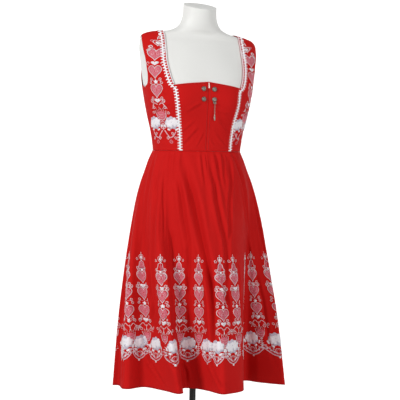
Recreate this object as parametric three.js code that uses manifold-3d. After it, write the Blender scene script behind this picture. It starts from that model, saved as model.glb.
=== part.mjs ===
// A red sleeveless dirndl on a limbless dress form with a pole and a round foot.
// Millimetres, +Z up. The front faces -Y and the wearer's right is -X.
// The origin is the middle of the foot plate's underside.
import * as THREE from "three";
import { mergeVertices } from "three/addons/utils/BufferGeometryUtils.js";
import Module from "manifold-3d";

const wasm = await Module();
wasm.setup();

// Driving heights, from the floor
const HEM = 307;
const WAIST = 1035;
const NECKLINE = 1245;
const FORM_BOTTOM = 815;
const NECK_TOP = 1487;

const CLOTH = { wall: 1.6, clear: 2.2, clearAtShoulder: 1.5, seam: 0.3 };
const SKIRT = {
  wall: 2,
  columns: 124,
  start: -100, // degrees from the front, where the rings begin, on the wearer's right
  seam: 0.028, // share of the ring at which the right side seam lies
  keepOff: 7, // distance kept from the form's hips
};
const LACE = { width: 14, thick: 0.8, lift: 0.7, depth: 2, teeth: 46 };
const BUTTON = { radius: 7.3, height: 5, apart: 34.6, upper: 1223, lower: 1192 };
const PENDANT = {
  width: 6, thick: 1.8, length: 51, tip: 4,
  bar: 0.9, hole: 1.3, barrel: 2.4, barrelLong: 5.4, lug: 1.2, side: 0.4,
};
const ZIP = { width: 24, thick: 0.8, lift: 0.8, pullWide: 5, pullLong: 17, pullThick: 1.6 };
const POLE = { radius: 10 };
const FOOT = { radius: 165, thick: 10, chamfer: 2 };

// Level sections of the form: half width, depth to front and back, centre line, squareness
const FORM_SECTIONS = [
  { z: 815, half: 160, front: 96, back: 112, centre: 0, square: 2.2 },
  { z: 880, half: 161, front: 98, back: 114, centre: 0, square: 2.2 },
  { z: 945, half: 154, front: 96, back: 108, centre: 0, square: 2.2 },
  { z: 1000, half: 141, front: 90, back: 97, centre: 0, square: 2.2 },
  { z: 1035, half: 135, front: 87, back: 91, centre: 0, square: 2.2 },
  { z: 1066, half: 138.5, front: 88, back: 92, centre: 0, square: 2.2 },
  { z: 1096, half: 143.5, front: 90, back: 95, centre: 0, square: 2.25 },
  { z: 1143, half: 155, front: 94, back: 100, centre: 0, square: 2.3 },
  { z: 1190, half: 164, front: 97, back: 105, centre: 0, square: 2.45 },
  { z: 1221, half: 168.5, front: 96, back: 107, centre: 0, square: 2.6 },
  { z: 1250, half: 172, front: 92, back: 108, centre: 0, square: 2.7 },
  { z: 1275, half: 177, front: 85, back: 107, centre: 0, square: 2.6 },
  { z: 1300, half: 182, front: 77, back: 104, centre: 0, square: 2.4 },
  { z: 1322, half: 186, front: 69, back: 98, centre: 0, square: 2.3 },
  { z: 1342, half: 189, front: 61, back: 90, centre: 1, square: 2.2 },
  { z: 1364, half: 188, front: 52, back: 78, centre: 3, square: 2.1 },
  { z: 1380, half: 180, front: 45, back: 66, centre: 5, square: 2.05 },
  { z: 1390, half: 156, front: 43, back: 58, centre: 5, square: 2.0 },
  { z: 1397, half: 118, front: 43, back: 54, centre: 3, square: 2.0 },
  { z: 1404, half: 90, front: 45, back: 52, centre: 1, square: 2.0 },
  { z: 1416, half: 69, front: 47, back: 51, centre: -1, square: 2.0 },
  { z: 1432, half: 58, front: 49, back: 51, centre: -3, square: 2.0 },
  { z: 1452, half: 53, front: 50, back: 51, centre: -5, square: 2.0 },
  { z: 1487, half: 51, front: 51, back: 51, centre: -8, square: 2.0 },
];
// Rises and hollows of the front, one on either side of the middle
const FRONT_RELIEF = [
  { part: "bust", x: 78, z: 1182, rise: 15, wide: 40, above: 46, below: 44 },
  { part: "hollow inside the shoulder", x: 122, z: 1340, rise: -14, wide: 46, above: 34, below: 42 },
];
const LEAN = { slope: 0.031, from: 1060, full: 1300 }; // the left shoulder stands a little lower
const NECK_TILT = { from: 1430, slope: 0.33 }; // the neck's top slopes down to the front

// Lines drawn on the body, waist to shoulder, for one side; each row is one station
const STATIONS = 10;
const PRINCESS = [
  { x: 82, y: -79, z: 1035 },
  { x: 86, y: -85, z: 1080 },
  { x: 94, y: -92, z: 1140 },
  { x: 100, y: -96, z: 1184 },
  { x: 105, y: -96, z: 1213 },
  { x: 109, y: -94, z: 1232 },
  { x: 117, y: -82, z: 1262 },
  { x: 122, y: -60, z: 1305 },
  { x: 119, y: -35, z: 1345 },
  { x: 115, y: -12, z: 1379 },
  { x: 113, y: 6, z: 1394 },
];
const SIDE_FRONT = [
  { x: 135, y: 0, z: 1035 },
  { x: 141, y: 0, z: 1080 },
  { x: 154, y: 0, z: 1140 },
  { x: 163, y: 0, z: 1186 },
  { x: 168, y: 0, z: 1221 },
  { x: 169, y: -22, z: 1234 },
  { x: 171, y: -29, z: 1262 },
  { x: 176, y: -24, z: 1305 },
  { x: 181, y: -12, z: 1345 },
  { x: 180, y: -3, z: 1366 },
  { x: 176, y: 7, z: 1380 },
];
const CENTRE_FRONT = [
  { x: 0, y: -87, z: 1035 },
  { x: 0, y: -89, z: 1080 },
  { x: 0, y: -95, z: 1140 },
  { x: 0, y: -99, z: 1184 },
  { x: 0, y: -97, z: 1215 },
  { x: 0, y: -94, z: 1245 },
];
const BACK_LINE = [
  { x: 62, y: 84, z: 1035 },
  { x: 66, y: 87, z: 1080 },
  { x: 74, y: 94, z: 1140 },
  { x: 82, y: 98, z: 1184 },
  { x: 87, y: 100, z: 1215 },
  { x: 91, y: 101, z: 1240 },
  { x: 97, y: 98, z: 1280 },
  { x: 103, y: 90, z: 1320 },
  { x: 108, y: 66, z: 1352 },
  { x: 112, y: 36, z: 1380 },
  { x: 113, y: 6, z: 1394 },
];
const SIDE_BACK = [
  { x: 135, y: 0, z: 1035 },
  { x: 141, y: 0, z: 1080 },
  { x: 154, y: 0, z: 1140 },
  { x: 163, y: 0, z: 1186 },
  { x: 168, y: 0, z: 1221 },
  { x: 167, y: 37, z: 1236 },
  { x: 163, y: 56, z: 1270 },
  { x: 163, y: 60, z: 1310 },
  { x: 166, y: 47, z: 1347 },
  { x: 171, y: 27, z: 1366 },
  { x: 176, y: 7, z: 1380 },
];
const CENTRE_BACK = [
  { x: 0, y: 91, z: 1035 },
  { x: 0, y: 94, z: 1080 },
  { x: 0, y: 99, z: 1140 },
  { x: 0, y: 104, z: 1184 },
  { x: 0, y: 107, z: 1215 },
  { x: 0, y: 108, z: 1240 },
  { x: 0, y: 107, z: 1280 },
  { x: 0, y: 101, z: 1316 },
];
const NECK_STATION = 5;
const BACK_NECK_STATION = 7;

// Folds of the hem, wearer's right side over the front to the left and round the back.
// turn: degrees from the front, out: distance from the axis, starts: where the fold leaves
// the waist, as a share of the way round, for the folds that run slantwise
const HEM_FOLDS = [
  { fold: "right side crest", turn: -103, out: 263, starts: 0 },
  { fold: "right side fold, back", turn: -101.8, out: 246 },
  { fold: "right side fold, front", turn: -86, out: 247 },
  { fold: "right side fold, edge", turn: -83.4, out: 235 },
  { fold: "right valley", turn: -89.3, out: 175, starts: 0.043 },
  { fold: "right front slope", turn: -60.6, out: 158 },
  { fold: "front edge, crest", turn: -37.1, out: 187 },
  { fold: "front edge, turn", turn: -34.9, out: 171 },
  { fold: "deep front valley", turn: -50.1, out: 80, starts: 0.136 },
  { fold: "centre valley floor", turn: -20, out: 78 },
  { fold: "centre slope", turn: -3.1, out: 120, starts: 0.172 },
  { fold: "left front crest", turn: 4, out: 189 },
  { fold: "left front dip", turn: 13.4, out: 185, starts: 0.305 },
  { fold: "left front edge", turn: 33.7, out: 172 },
  { fold: "left pocket floor", turn: 101.5, out: 163, starts: 0.456 },
  { fold: "left pocket back", turn: 101.8, out: 186 },
  { fold: "left side slope", turn: 88.5, out: 208 },
  { fold: "left side crest", turn: 76.2, out: 277 },
  { fold: "left back valley 1", turn: 94, out: 242 },
  { fold: "left back crest 1", turn: 106, out: 262 },
  { fold: "left back valley 2", turn: 113, out: 196 },
  { fold: "left back crest 2", turn: 128, out: 238 },
  { fold: "left back valley 3", turn: 137, out: 168 },
  { fold: "left back crest 3", turn: 150, out: 220 },
  { fold: "back valley 1", turn: 154, out: 148 },
  { fold: "back crest 1", turn: 171, out: 205 },
  { fold: "back valley 2", turn: 187, out: 136 },
  { fold: "back crest 2", turn: 197, out: 206 },
  { fold: "right back valley 1", turn: 216, out: 152 },
  { fold: "right back crest 1", turn: 217, out: 226 },
  { fold: "right back valley 2", turn: 237, out: 186 },
  { fold: "right back crest 2", turn: 240, out: 246 },
  { fold: "right back valley 3", turn: 251, out: 212 },
];
// The hem swings a little to the front left of the axis
const SWAY = { x: 13, y: -5 };
// The hem without its folds, and how far the skirt has spread and folded on the way down
const HEM_BELL = { half: 232, front: 152, back: 178, square: 2.1 };
const DOWN = [
  { down: 0, spread: 0, folded: 0 },
  { down: 0.06, spread: 0.16, folded: 0.02 },
  { down: 0.14, spread: 0.38, folded: 0.09 },
  { down: 0.21, spread: 0.51, folded: 0.15 },
  { down: 0.36, spread: 0.67, folded: 0.32 },
  { down: 0.52, spread: 0.79, folded: 0.52 },
  { down: 0.72, spread: 0.9, folded: 0.75 },
  { down: 1, spread: 1, folded: 1 },
];
const GATHERS = { pleats: 30, depth: 2.6, peak: 0.05, fade: 0.16 };

const RED = 0xb3201c;
const WHITE = 0xe9e7e4;
const LACE_WHITE = 0xefeaf0;
const SILVER = 0x8d857c;
const BLACK = 0x18181a;

const radians = (degrees) => (degrees * Math.PI) / 180;
const mix = (a, b, share) => a + (b - a) * share;

function smooth(from, to, value) {
  const share = Math.min(1, Math.max(0, (value - from) / (to - from)));
  return share * share * (3 - 2 * share);
}

// A smooth curve through the rows of a table, with no overshoot between them
function curveThrough(rows, key, column) {
  const xs = rows.map((row) => row[key]);
  const ys = rows.map((row) => row[column]);
  const steps = xs.slice(1).map((x, i) => x - xs[i]);
  const slopes = steps.map((step, i) => (ys[i + 1] - ys[i]) / step);
  const tangents = ys.map((y, i) => {
    if (i === 0) return slopes[0];
    if (i === ys.length - 1) return slopes[i - 1];
    if (slopes[i - 1] * slopes[i] <= 0) return 0;
    const before = 2 * steps[i] + steps[i - 1];
    const after = steps[i] + 2 * steps[i - 1];
    return (before + after) / (before / slopes[i - 1] + after / slopes[i]);
  });
  return (x) => {
    let i = 0;
    while (i < steps.length - 1 && x > xs[i + 1]) i += 1;
    const s = Math.min(1, Math.max(0, (x - xs[i]) / steps[i]));
    const rest = 1 - s;
    return (
      ys[i] * (1 + 2 * s) * rest * rest +
      tangents[i] * steps[i] * s * rest * rest +
      ys[i + 1] * s * s * (3 - 2 * s) -
      tangents[i + 1] * steps[i] * s * s * rest
    );
  };
}

const section = {};
for (const column of ["half", "front", "back", "centre", "square"])
  section[column] = curveThrough(FORM_SECTIONS, "z", column);

// Distance from the centre line to a level oval, in the direction turn (from the front, to +X)
function ovalRadius(turn, half, front, back, square) {
  const across = Math.abs(Math.sin(turn)) / half;
  const along = Math.abs(Math.cos(turn)) / (Math.cos(turn) > 0 ? front : back);
  return (across ** square + along ** square) ** (-1 / square);
}

// The form's surface: the oval at that height, with the relief of its front
function formRadius(turn, z) {
  const oval = ovalRadius(turn, section.half(z), section.front(z), section.back(z), section.square(z));
  const facing = Math.max(0, Math.cos(turn));
  let radius = oval;
  for (const row of FRONT_RELIEF) {
    const aside = (Math.abs(oval * Math.sin(turn)) - row.x) / row.wide;
    const aloft = (z - row.z) / (z > row.z ? row.above : row.below);
    radius += row.rise * facing * Math.exp(-aside * aside - aloft * aloft);
  }
  return radius;
}

// Below 0 inside the form, above 0 outside
function outside(p) {
  const y = p.y - section.centre(p.z);
  return Math.hypot(p.x, y) / formRadius(Math.atan2(p.x, -y), p.z) - 1;
}

function slopeOf(p) {
  const step = 0.5;
  const slope = new THREE.Vector3();
  for (const axis of ["x", "y", "z"]) {
    const ahead = p.clone();
    const behind = p.clone();
    ahead[axis] += step;
    behind[axis] -= step;
    slope[axis] = (outside(ahead) - outside(behind)) / (2 * step);
  }
  return slope;
}

// Moves a point along a direction, or along the steepest way, until it lies on the form
function land(point, direction) {
  const p = point.clone();
  for (let turn = 0; turn < 14; turn += 1) {
    const slope = slopeOf(p);
    const way = direction ? direction : slope.clone().normalize();
    const move = -outside(p) / slope.dot(way);
    p.addScaledVector(way, Math.min(15, Math.max(-15, move)));
  }
  return p;
}

const normalAt = (p) => slopeOf(p).normalize();

function clearance(z) {
  return mix(CLOTH.clear, CLOTH.clearAtShoulder, smooth(1300, 1370, z));
}

// A line of the body as a smooth curve through its stations, laid on the form
function bodyLine(rows) {
  const numbered = rows.map((row, station) => ({ ...row, station }));
  const [x, y, z] = ["x", "y", "z"].map((column) => curveThrough(numbered, "station", column));
  return (station) => land(new THREE.Vector3(x(station), y(station), z(station)));
}

// Points of one row of cloth between two landed points, spread evenly over the form
function rowBetween(a, b, columns) {
  const fromA = normalAt(a);
  const fromB = normalAt(b);
  const points = [];
  for (let i = 0; i <= columns; i += 1) {
    const share = i / columns;
    const way = fromA.clone().lerp(fromB, share).normalize();
    points.push(land(a.clone().lerp(b, share), way));
  }
  return points;
}

// Draws the ends of a row in by half a seam
function trimRow(row, first, last) {
  const half = CLOTH.seam / 2;
  const n = row.length - 1;
  const start = row[1].clone().sub(row[0]).setLength(half);
  const end = row[n - 1].clone().sub(row[n]).setLength(half);
  if (first) row[0].add(start);
  if (last) row[n].add(end);
}

function trimGrid(grid, bottom, top) {
  const turned = grid[0].map((unused, i) => grid.map((row) => row[i]));
  for (const column of turned) trimRow(column, bottom, top);
}

// Closed solid between two grids of points; cells for which keep is false stay open
function solidBetween(outer, inner, keep = () => true) {
  const rows = outer.length - 1;
  const columns = outer[0].length - 1;
  const positions = [];
  const faces = [];
  const index = (side, r, c) => (side * (rows + 1) + r) * (columns + 1) + c;
  for (const grid of [outer, inner])
    for (const row of grid) for (const p of row) positions.push(p.x, p.y, p.z);
  const quad = (a, b, c, d) => faces.push(a, b, c, a, c, d);
  const kept = (r, c) => r >= 0 && c >= 0 && r < rows && c < columns && keep(r, c);
  for (let r = 0; r < rows; r += 1)
    for (let c = 0; c < columns; c += 1) {
      if (!kept(r, c)) continue;
      quad(index(0, r, c), index(0, r, c + 1), index(0, r + 1, c + 1), index(0, r + 1, c));
      quad(index(1, r, c), index(1, r + 1, c), index(1, r + 1, c + 1), index(1, r, c + 1));
      if (!kept(r - 1, c))
        quad(index(0, r, c), index(1, r, c), index(1, r, c + 1), index(0, r, c + 1));
      if (!kept(r + 1, c))
        quad(index(0, r + 1, c), index(0, r + 1, c + 1), index(1, r + 1, c + 1), index(1, r + 1, c));
      if (!kept(r, c - 1))
        quad(index(0, r, c), index(0, r + 1, c), index(1, r + 1, c), index(1, r, c));
      if (!kept(r, c + 1))
        quad(index(0, r, c + 1), index(1, r, c + 1), index(1, r + 1, c + 1), index(0, r + 1, c + 1));
    }
  return facingOut(positions, faces);
}

// Geometry from corners and faces, turned so that its faces point out
function facingOut(positions, faces) {
  let volume = 0;
  const corner = (i) => new THREE.Vector3().fromArray(positions, 3 * i);
  for (let i = 0; i < faces.length; i += 3)
    volume += corner(faces[i]).dot(corner(faces[i + 1]).cross(corner(faces[i + 2])));
  if (volume < 0) faces.reverse();
  const raw = new THREE.BufferGeometry();
  raw.setAttribute("position", new THREE.Float32BufferAttribute(positions, 3));
  raw.setIndex(faces);
  const used = raw.toNonIndexed();
  return mergeVertices(used, 1e-4);
}

// The whole upper body, cloth and form, stands a little askew
function lean(p) {
  return new THREE.Vector3(p.x, p.y, p.z - LEAN.slope * p.x * smooth(LEAN.from, LEAN.full, p.z));
}

// Moves each landed point out of the form by a distance, then sets it askew with the form
function liftedGrid(grid, lift) {
  return grid.map((row) => row.map((p) => lean(p.clone().addScaledVector(normalAt(p), lift(p)))));
}

// A panel lying on the form: its landed points moved out to both faces of the cloth
function clothOnForm(grid, keep) {
  const face = (lift) => liftedGrid(grid, (p) => clearance(p.z) + lift);
  return solidBetween(face(CLOTH.wall), face(0), keep);
}

function stations(from, to, step, fineFrom, fineStep) {
  const values = [];
  for (let s = from; s < to - 1e-6; s += s < fineFrom - 1e-6 ? step : fineStep) values.push(s);
  values.push(to);
  return values;
}

const princess = bodyLine(PRINCESS);
const sideFront = bodyLine(SIDE_FRONT);
const centreFront = bodyLine(CENTRE_FRONT);
const backLine = bodyLine(BACK_LINE);
const sideBack = bodyLine(SIDE_BACK);
const centreBack = bodyLine(CENTRE_BACK);

const mirrored = (grid) => grid.map((row) => row.map((p) => new THREE.Vector3(-p.x, p.y, p.z)));

function frontPanel() {
  const grid = stations(0, NECK_STATION, 0.5, NECK_STATION, 0.5).map((s) =>
    rowBetween(centreFront(s), princess(s), 4),
  );
  for (const row of grid) trimRow(row, true, true);
  trimGrid(grid, true, false);
  return grid;
}

function sideFrontPanel() {
  const grid = stations(0, STATIONS, 0.5, 7, 0.25).map((s) =>
    rowBetween(princess(s), sideFront(s), 5),
  );
  grid.forEach((row) => trimRow(row, true, true));
  trimGrid(grid, true, true);
  return grid;
}

// The back runs from side seam to side seam; above its neckline only the straps go on
const BACK = { strap: 5, centre: 4 };

function backPanel() {
  const grid = stations(0, STATIONS, 0.5, 7, 0.25).map((s) => {
    const line = backLine(s);
    const strap = rowBetween(sideBack(s), line, BACK.strap);
    trimRow(strap, true, false);
    const middle = s <= BACK_NECK_STATION ? centreBack(s) : new THREE.Vector3(0, line.y, line.z);
    const half = rowBetween(line, middle, BACK.centre).slice(1);
    const left = [...strap, ...(s <= BACK_NECK_STATION ? half : half.map(() => line.clone()))];
    const right = mirrored([left])[0].reverse().slice(1);
    return [...left, ...right];
  });
  trimGrid(grid, true, true);
  return grid;
}

function keepBack(grid) {
  const neckRow = stations(0, STATIONS, 0.5, 7, 0.25).findIndex((s) => s >= BACK_NECK_STATION);
  const last = grid[0].length - 1;
  return (r, c) => r < neckRow || c < BACK.strap || c >= last - BACK.strap;
}

// A strip that lies on the cloth along a body line, with its edges given per station
function stripOnCloth(line, values, edges, lift, thick) {
  const at = (s) => {
    const p = line(s);
    const along = line(Math.min(STATIONS, s + 0.02)).sub(line(Math.max(0, s - 0.02))).normalize();
    return { p, across: along.cross(normalAt(p)).normalize() };
  };
  const grid = values.map((s, i) => {
    const { p, across } = at(s);
    return edges(s, i).map((offset) => land(p.clone().addScaledVector(across, offset)));
  });
  const face = (extra) => liftedGrid(grid, (p) => clearance(p.z) + CLOTH.wall + lift + extra);
  return solidBetween(face(thick), face(0));
}

// Lace: centred on the princess seam, and beside the edge once it climbs the strap
function laceTrim(side) {
  const steps = 2 * LACE.teeth;
  const values = Array.from({ length: steps + 1 }, (unused, i) => (i / steps) * STATIONS);
  const line = side < 0 ? (s) => mirrored([[princess(s)]])[0][0] : princess;
  const shift = (s) => mix(0, LACE.width / 2 + 2, smooth(4.3, 5.4, s));
  const edges = (s, i) => {
    const half = LACE.width / 2 - (i % 2) * LACE.depth;
    const middle = shift(s);
    return [middle - half, middle + half].map((offset) => side * offset);
  };
  return stripOnCloth(line, values, edges, LACE.lift, LACE.thick);
}

function zipTape() {
  const grid = stations(0.1, NECK_STATION - 0.1, 0.48, 9, 1).map((s) => {
    const middle = centreFront(s);
    return [-1, 0, 1].map((side) =>
      land(new THREE.Vector3((side * ZIP.width) / 2, middle.y, middle.z), new THREE.Vector3(0, -1, 0)),
    );
  });
  const face = (lift) => liftedGrid(grid, () => lift);
  return solidBetween(face(ZIP.lift + ZIP.thick), face(ZIP.lift));
}

// Skirt rings: closed outlines that are asked for a point by its share of the way round
function ring(points) {
  const lengths = [0];
  const count = points.length;
  for (let i = 0; i < count; i += 1)
    lengths.push(lengths[i] + points[i].distanceTo(points[(i + 1) % count]));
  const total = lengths[count];
  const at = (share) => {
    const target = (share - Math.floor(share)) * total;
    let low = 0;
    let high = count;
    while (high - low > 1) {
      const middle = (low + high) >> 1;
      if (lengths[middle] <= target) low = middle;
      else high = middle;
    }
    const part = (target - lengths[low]) / (lengths[low + 1] - lengths[low]);
    return points[low].clone().lerp(points[(low + 1) % count], part);
  };
  return { total, at, lengths };
}

function ovalRing(radiusAt) {
  const points = [];
  const count = 720;
  for (let i = 0; i < count; i += 1) {
    const turn = radians(SKIRT.start + (360 * i) / count);
    const out = radiusAt(turn);
    points.push(new THREE.Vector3(out * Math.sin(turn), -out * Math.cos(turn), 0));
  }
  return ring(points);
}

const SPLINE_STEPS = 24;

function foldRing() {
  const corners = HEM_FOLDS.map((row) => {
    const turn = radians(row.turn);
    return new THREE.Vector3(row.out * Math.sin(turn), -row.out * Math.cos(turn), 0);
  });
  const curve = new THREE.CatmullRomCurve3(corners, true, "centripetal");
  return ring(curve.getPoints(corners.length * SPLINE_STEPS).slice(0, -1));
}

const waistRing = ovalRing((turn) => formRadius(turn, WAIST) + CLOTH.clear + CLOTH.wall / 2);
const bellRing = ovalRing((turn) =>
  ovalRadius(turn, HEM_BELL.half, HEM_BELL.front, HEM_BELL.back, HEM_BELL.square),
);
const hemRing = foldRing();
const spread = curveThrough(DOWN, "down", "spread");
const folded = curveThrough(DOWN, "down", "folded");

// Where on the hem's folds a waist share belongs, so that folds can run slantwise
const foldStarts = HEM_FOLDS.map((row, i) => ({
  waist: row.starts,
  hem: hemRing.lengths[i * SPLINE_STEPS] / hemRing.total,
})).filter((row) => row.waist !== undefined);
foldStarts.push({ waist: 0.6, hem: 0.6 }, { waist: 1, hem: 1 });
const foldAbove = curveThrough(foldStarts, "waist", "hem");

function foldsAt(share) {
  const bell = bellRing.at(share);
  const along = bellRing.at(share + 0.002).sub(bellRing.at(share - 0.002)).normalize();
  const out = new THREE.Vector3(along.y, -along.x, 0);
  const offset = hemRing.at(share).sub(bell);
  return { along, out, aside: offset.dot(along), outward: offset.dot(out) };
}

// The gathers of the waist seam, which fade out below it
function gather(share, down) {
  const wave = Math.sin(2 * Math.PI * GATHERS.pleats * share + 1.7 * Math.sin(14 * Math.PI * share));
  const grow = smooth(-0.03, GATHERS.peak, down);
  return GATHERS.depth * wave * grow * Math.exp(-Math.max(0, down - GATHERS.peak) / GATHERS.fade);
}

// The skirt's middle surface, by share of the way round and share of the way down
function skirtPoint(share, down) {
  const place = share - Math.floor(share);
  const slanted = mix(foldAbove(place), place, down);
  const here = foldsAt(place);
  const fold = foldsAt(slanted);
  const much = folded(down);
  const p = waistRing.at(place).lerp(bellRing.at(place), spread(down));
  p.add(new THREE.Vector3(SWAY.x * down, SWAY.y * down, 0));
  p.addScaledVector(here.along, fold.aside * much);
  p.addScaledVector(here.out, fold.outward * much + gather(place, down));
  p.z = mix(WAIST - CLOTH.seam, HEM, down);
  return offTheForm(p);
}

// Keeps the cloth off the hips, letting go below the form
function offTheForm(p) {
  const turn = Math.atan2(p.x, -p.y);
  const out = Math.hypot(p.x, p.y);
  const hold = smooth(640, 800, p.z);
  if (hold === 0) return p;
  const keepOff = mix(2.6, SKIRT.keepOff, smooth(0, 60, WAIST - p.z));
  const least = (formRadius(turn, Math.max(FORM_BOTTOM, p.z)) + keepOff) * hold;
  const soft = 5;
  const gap = (out - least) / soft;
  const held = least + soft * Math.log1p(Math.exp(Math.min(30, gap)));
  const reach = gap > 30 ? out : mix(out, held, smooth(0, 30, WAIST - p.z));
  return new THREE.Vector3((p.x * reach) / out, (p.y * reach) / out, p.z);
}

const SKIRT_ROWS = [0, 0.02, 0.06, 0.12, 0.2, 0.3, 0.42, 0.55, 0.68, 0.84, 1];

// Level directions out of the cloth, from each point's neighbours round the ring
function levelNormals(grid) {
  return grid.map((row) =>
    row.slice(1, -1).map((unused, c) => {
      const along = row[c + 2].clone().sub(row[c]).setZ(0).normalize();
      return new THREE.Vector3(along.y, -along.x, 0);
    }),
  );
}

function skirtPanel(from, to) {
  const columns = Math.round(SKIRT.columns * (to - from));
  const wider = SKIRT_ROWS.map((down) =>
    Array.from({ length: columns + 3 }, (unused, c) => skirtPoint(mix(from, to, (c - 1) / columns), down)),
  );
  const normals = levelNormals(wider);
  const grid = wider.map((row) => row.slice(1, -1));
  grid.forEach((row) => trimRow(row, true, true));
  const face = (lift) =>
    grid.map((row, r) => row.map((p, c) => p.clone().addScaledVector(normals[r][c], lift)));
  return solidBetween(face(SKIRT.wall / 2), face(-SKIRT.wall / 2));
}

function formTorso() {
  const columns = 32;
  const positions = [];
  const faces = [];
  const heights = [
    815, 850, 885, 920, 955, 990, 1035, 1066, 1096, 1122, 1146, 1165, 1182, 1200, 1221, 1246, 1275,
    1302, 1326, 1346, 1362, 1374, 1382, 1388, 1393, 1398, 1404, 1412, 1422, 1436, 1456, NECK_TOP,
  ];
  heights.forEach((z) => {
    const tilt = NECK_TILT.slope * smooth(NECK_TILT.from, NECK_TOP, z);
    for (let c = 0; c < columns; c += 1) {
      const turn = (2 * Math.PI * c) / columns;
      const out = formRadius(turn, z);
      const y = -out * Math.cos(turn);
      const p = lean(new THREE.Vector3(out * Math.sin(turn), y + section.centre(z), z));
      positions.push(p.x, p.y, p.z + tilt * y);
    }
  });
  const index = (r, c) => r * columns + (c % columns);
  for (let r = 0; r < heights.length - 1; r += 1)
    for (let c = 0; c < columns; c += 1) {
      faces.push(index(r, c), index(r, c + 1), index(r + 1, c + 1));
      faces.push(index(r, c), index(r + 1, c + 1), index(r + 1, c));
    }
  const last = heights.length - 1;
  const top = positions.length / 3;
  positions.push(0, section.centre(NECK_TOP), NECK_TOP, 0, 0, FORM_BOTTOM);
  for (let c = 0; c < columns; c += 1) {
    faces.push(index(last, c), index(last, c + 1), top);
    faces.push(index(0, c + 1), index(0, c), top + 1);
  }
  return facingOut(positions, faces);
}

// Booleans for the small metal pieces
function asManifold(geometry, place = new THREE.Matrix4()) {
  const plain = geometry.clone().applyMatrix4(place);
  plain.deleteAttribute("normal");
  plain.deleteAttribute("uv");
  const merged = mergeVertices(plain, 1e-4);
  return new wasm.Manifold(
    new wasm.Mesh({
      numProp: 3,
      vertProperties: new Float32Array(merged.attributes.position.array),
      triVerts: new Uint32Array(merged.index.array),
    }),
  );
}

function fromManifold(shape) {
  const mesh = shape.getMesh();
  const geometry = new THREE.BufferGeometry();
  geometry.setAttribute("position", new THREE.BufferAttribute(new Float32Array(mesh.vertProperties), 3));
  geometry.setIndex(new THREE.BufferAttribute(new Uint32Array(mesh.triVerts), 1));
  return geometry;
}

const moved = (x, y, z) => new THREE.Matrix4().makeTranslation(x, y, z);

function barAlongX(radius, long, sides) {
  return asManifold(new THREE.CylinderGeometry(radius, radius, long, sides).rotateZ(Math.PI / 2));
}

function box(width, depth, height, x, y, z) {
  return asManifold(new THREE.BoxGeometry(width, depth, height), moved(x, y, z));
}

// The point of the bodice's outer face straight in front of (x, z), and its normal
function onBodice(x, z) {
  const p = land(new THREE.Vector3(x, -95, z), new THREE.Vector3(0, -1, 0));
  const normal = normalAt(p);
  return { p: lean(p.clone().addScaledVector(normal, clearance(z) + CLOTH.wall)), normal };
}

// A domed button: a flat back, a short rim and a rounded top, turned about +Z
function buttonGeometry() {
  const { radius, height } = BUTTON;
  const rim = 1.6;
  const profile = [new THREE.Vector2(0, 0), new THREE.Vector2(radius, 0), new THREE.Vector2(radius, rim)];
  for (let i = 1; i < 5; i += 1) {
    const angle = (Math.PI / 2) * (i / 5);
    profile.push(new THREE.Vector2(radius * Math.cos(angle), rim + (height - rim) * Math.sin(angle)));
  }
  profile.push(new THREE.Vector2(0, height));
  return new THREE.LatheGeometry(profile, 16).rotateX(Math.PI / 2);
}

function place(mesh, x, z, lift) {
  const { p, normal } = onBodice(x, z);
  mesh.position.copy(p.addScaledVector(normal, lift));
  mesh.quaternion.setFromUnitVectors(new THREE.Vector3(0, 0, 1), normal);
  return mesh;
}

// The pendant's pivot, in front of the cloth just under the lower left button
const pivot = (() => {
  const x = BUTTON.apart / 2;
  const z = BUTTON.lower - BUTTON.radius - PENDANT.barrel - 0.6;
  const corners = [-4.5, 4.5].flatMap((aside) =>
    [-PENDANT.barrel, PENDANT.barrel].map((up) => onBodice(x + aside, z + up).p.y),
  );
  return new THREE.Vector3(x, Math.min(...corners) - 0.4 - 0.8 - 0.5 - PENDANT.barrel, z);
})();

function pendantHanger() {
  const { bar, barrelLong, side, lug, barrel } = PENDANT;
  const inner = barrelLong / 2 + side;
  const plate = { thick: 0.8, high: 2 * barrel };
  const back = barrel + 0.5 + plate.thick;
  let shape = box(2 * (inner + lug), plate.thick, plate.high, 0, back - plate.thick / 2, 0);
  for (const end of [-1, 1])
    shape = shape.add(
      box(lug, back + bar + 0.5, 2 * bar + 1, end * (inner + lug / 2), (back - bar - 0.5) / 2, 0),
    );
  shape = shape.add(barAlongX(bar, 2 * inner + lug, 16));
  return fromManifold(shape);
}

function pendantDrop() {
  const { width, thick, length, tip, barrel, barrelLong, hole } = PENDANT;
  const strip = length - barrel;
  let shape = barAlongX(barrel, barrelLong, 20);
  shape = shape.add(box(width - 1, thick, strip, 0, 0, -barrel / 2 - strip / 2));
  const round = new THREE.SphereGeometry(tip, 12, 8).scale(1, 0.55, 1);
  shape = shape.add(asManifold(round, moved(0, 0, -length)));
  shape = shape.subtract(barAlongX(hole, barrelLong + 2, 20));
  return fromManifold(shape);
}

// The zip's pull: a narrow drop shape with a flat back
function zipPull() {
  const { pullWide, pullLong, pullThick } = ZIP;
  const half = pullWide / 2;
  const outline = new THREE.Shape();
  const top = pullLong / 2;
  outline.moveTo(-half * 0.6, top);
  outline.lineTo(half * 0.6, top);
  outline.lineTo(half, half - top);
  outline.absarc(0, half - top, half, 0, -Math.PI, true);
  outline.closePath();
  return new THREE.ExtrudeGeometry(outline, { depth: pullThick, bevelEnabled: false, curveSegments: 8 });
}

function footPlate() {
  const { radius, thick, chamfer } = FOOT;
  const profile = [
    new THREE.Vector2(0, 0),
    new THREE.Vector2(radius, 0),
    new THREE.Vector2(radius, thick - chamfer),
    new THREE.Vector2(radius - chamfer, thick),
    new THREE.Vector2(0, thick),
  ];
  return new THREE.LatheGeometry(profile, 64).rotateX(Math.PI / 2);
}

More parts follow.
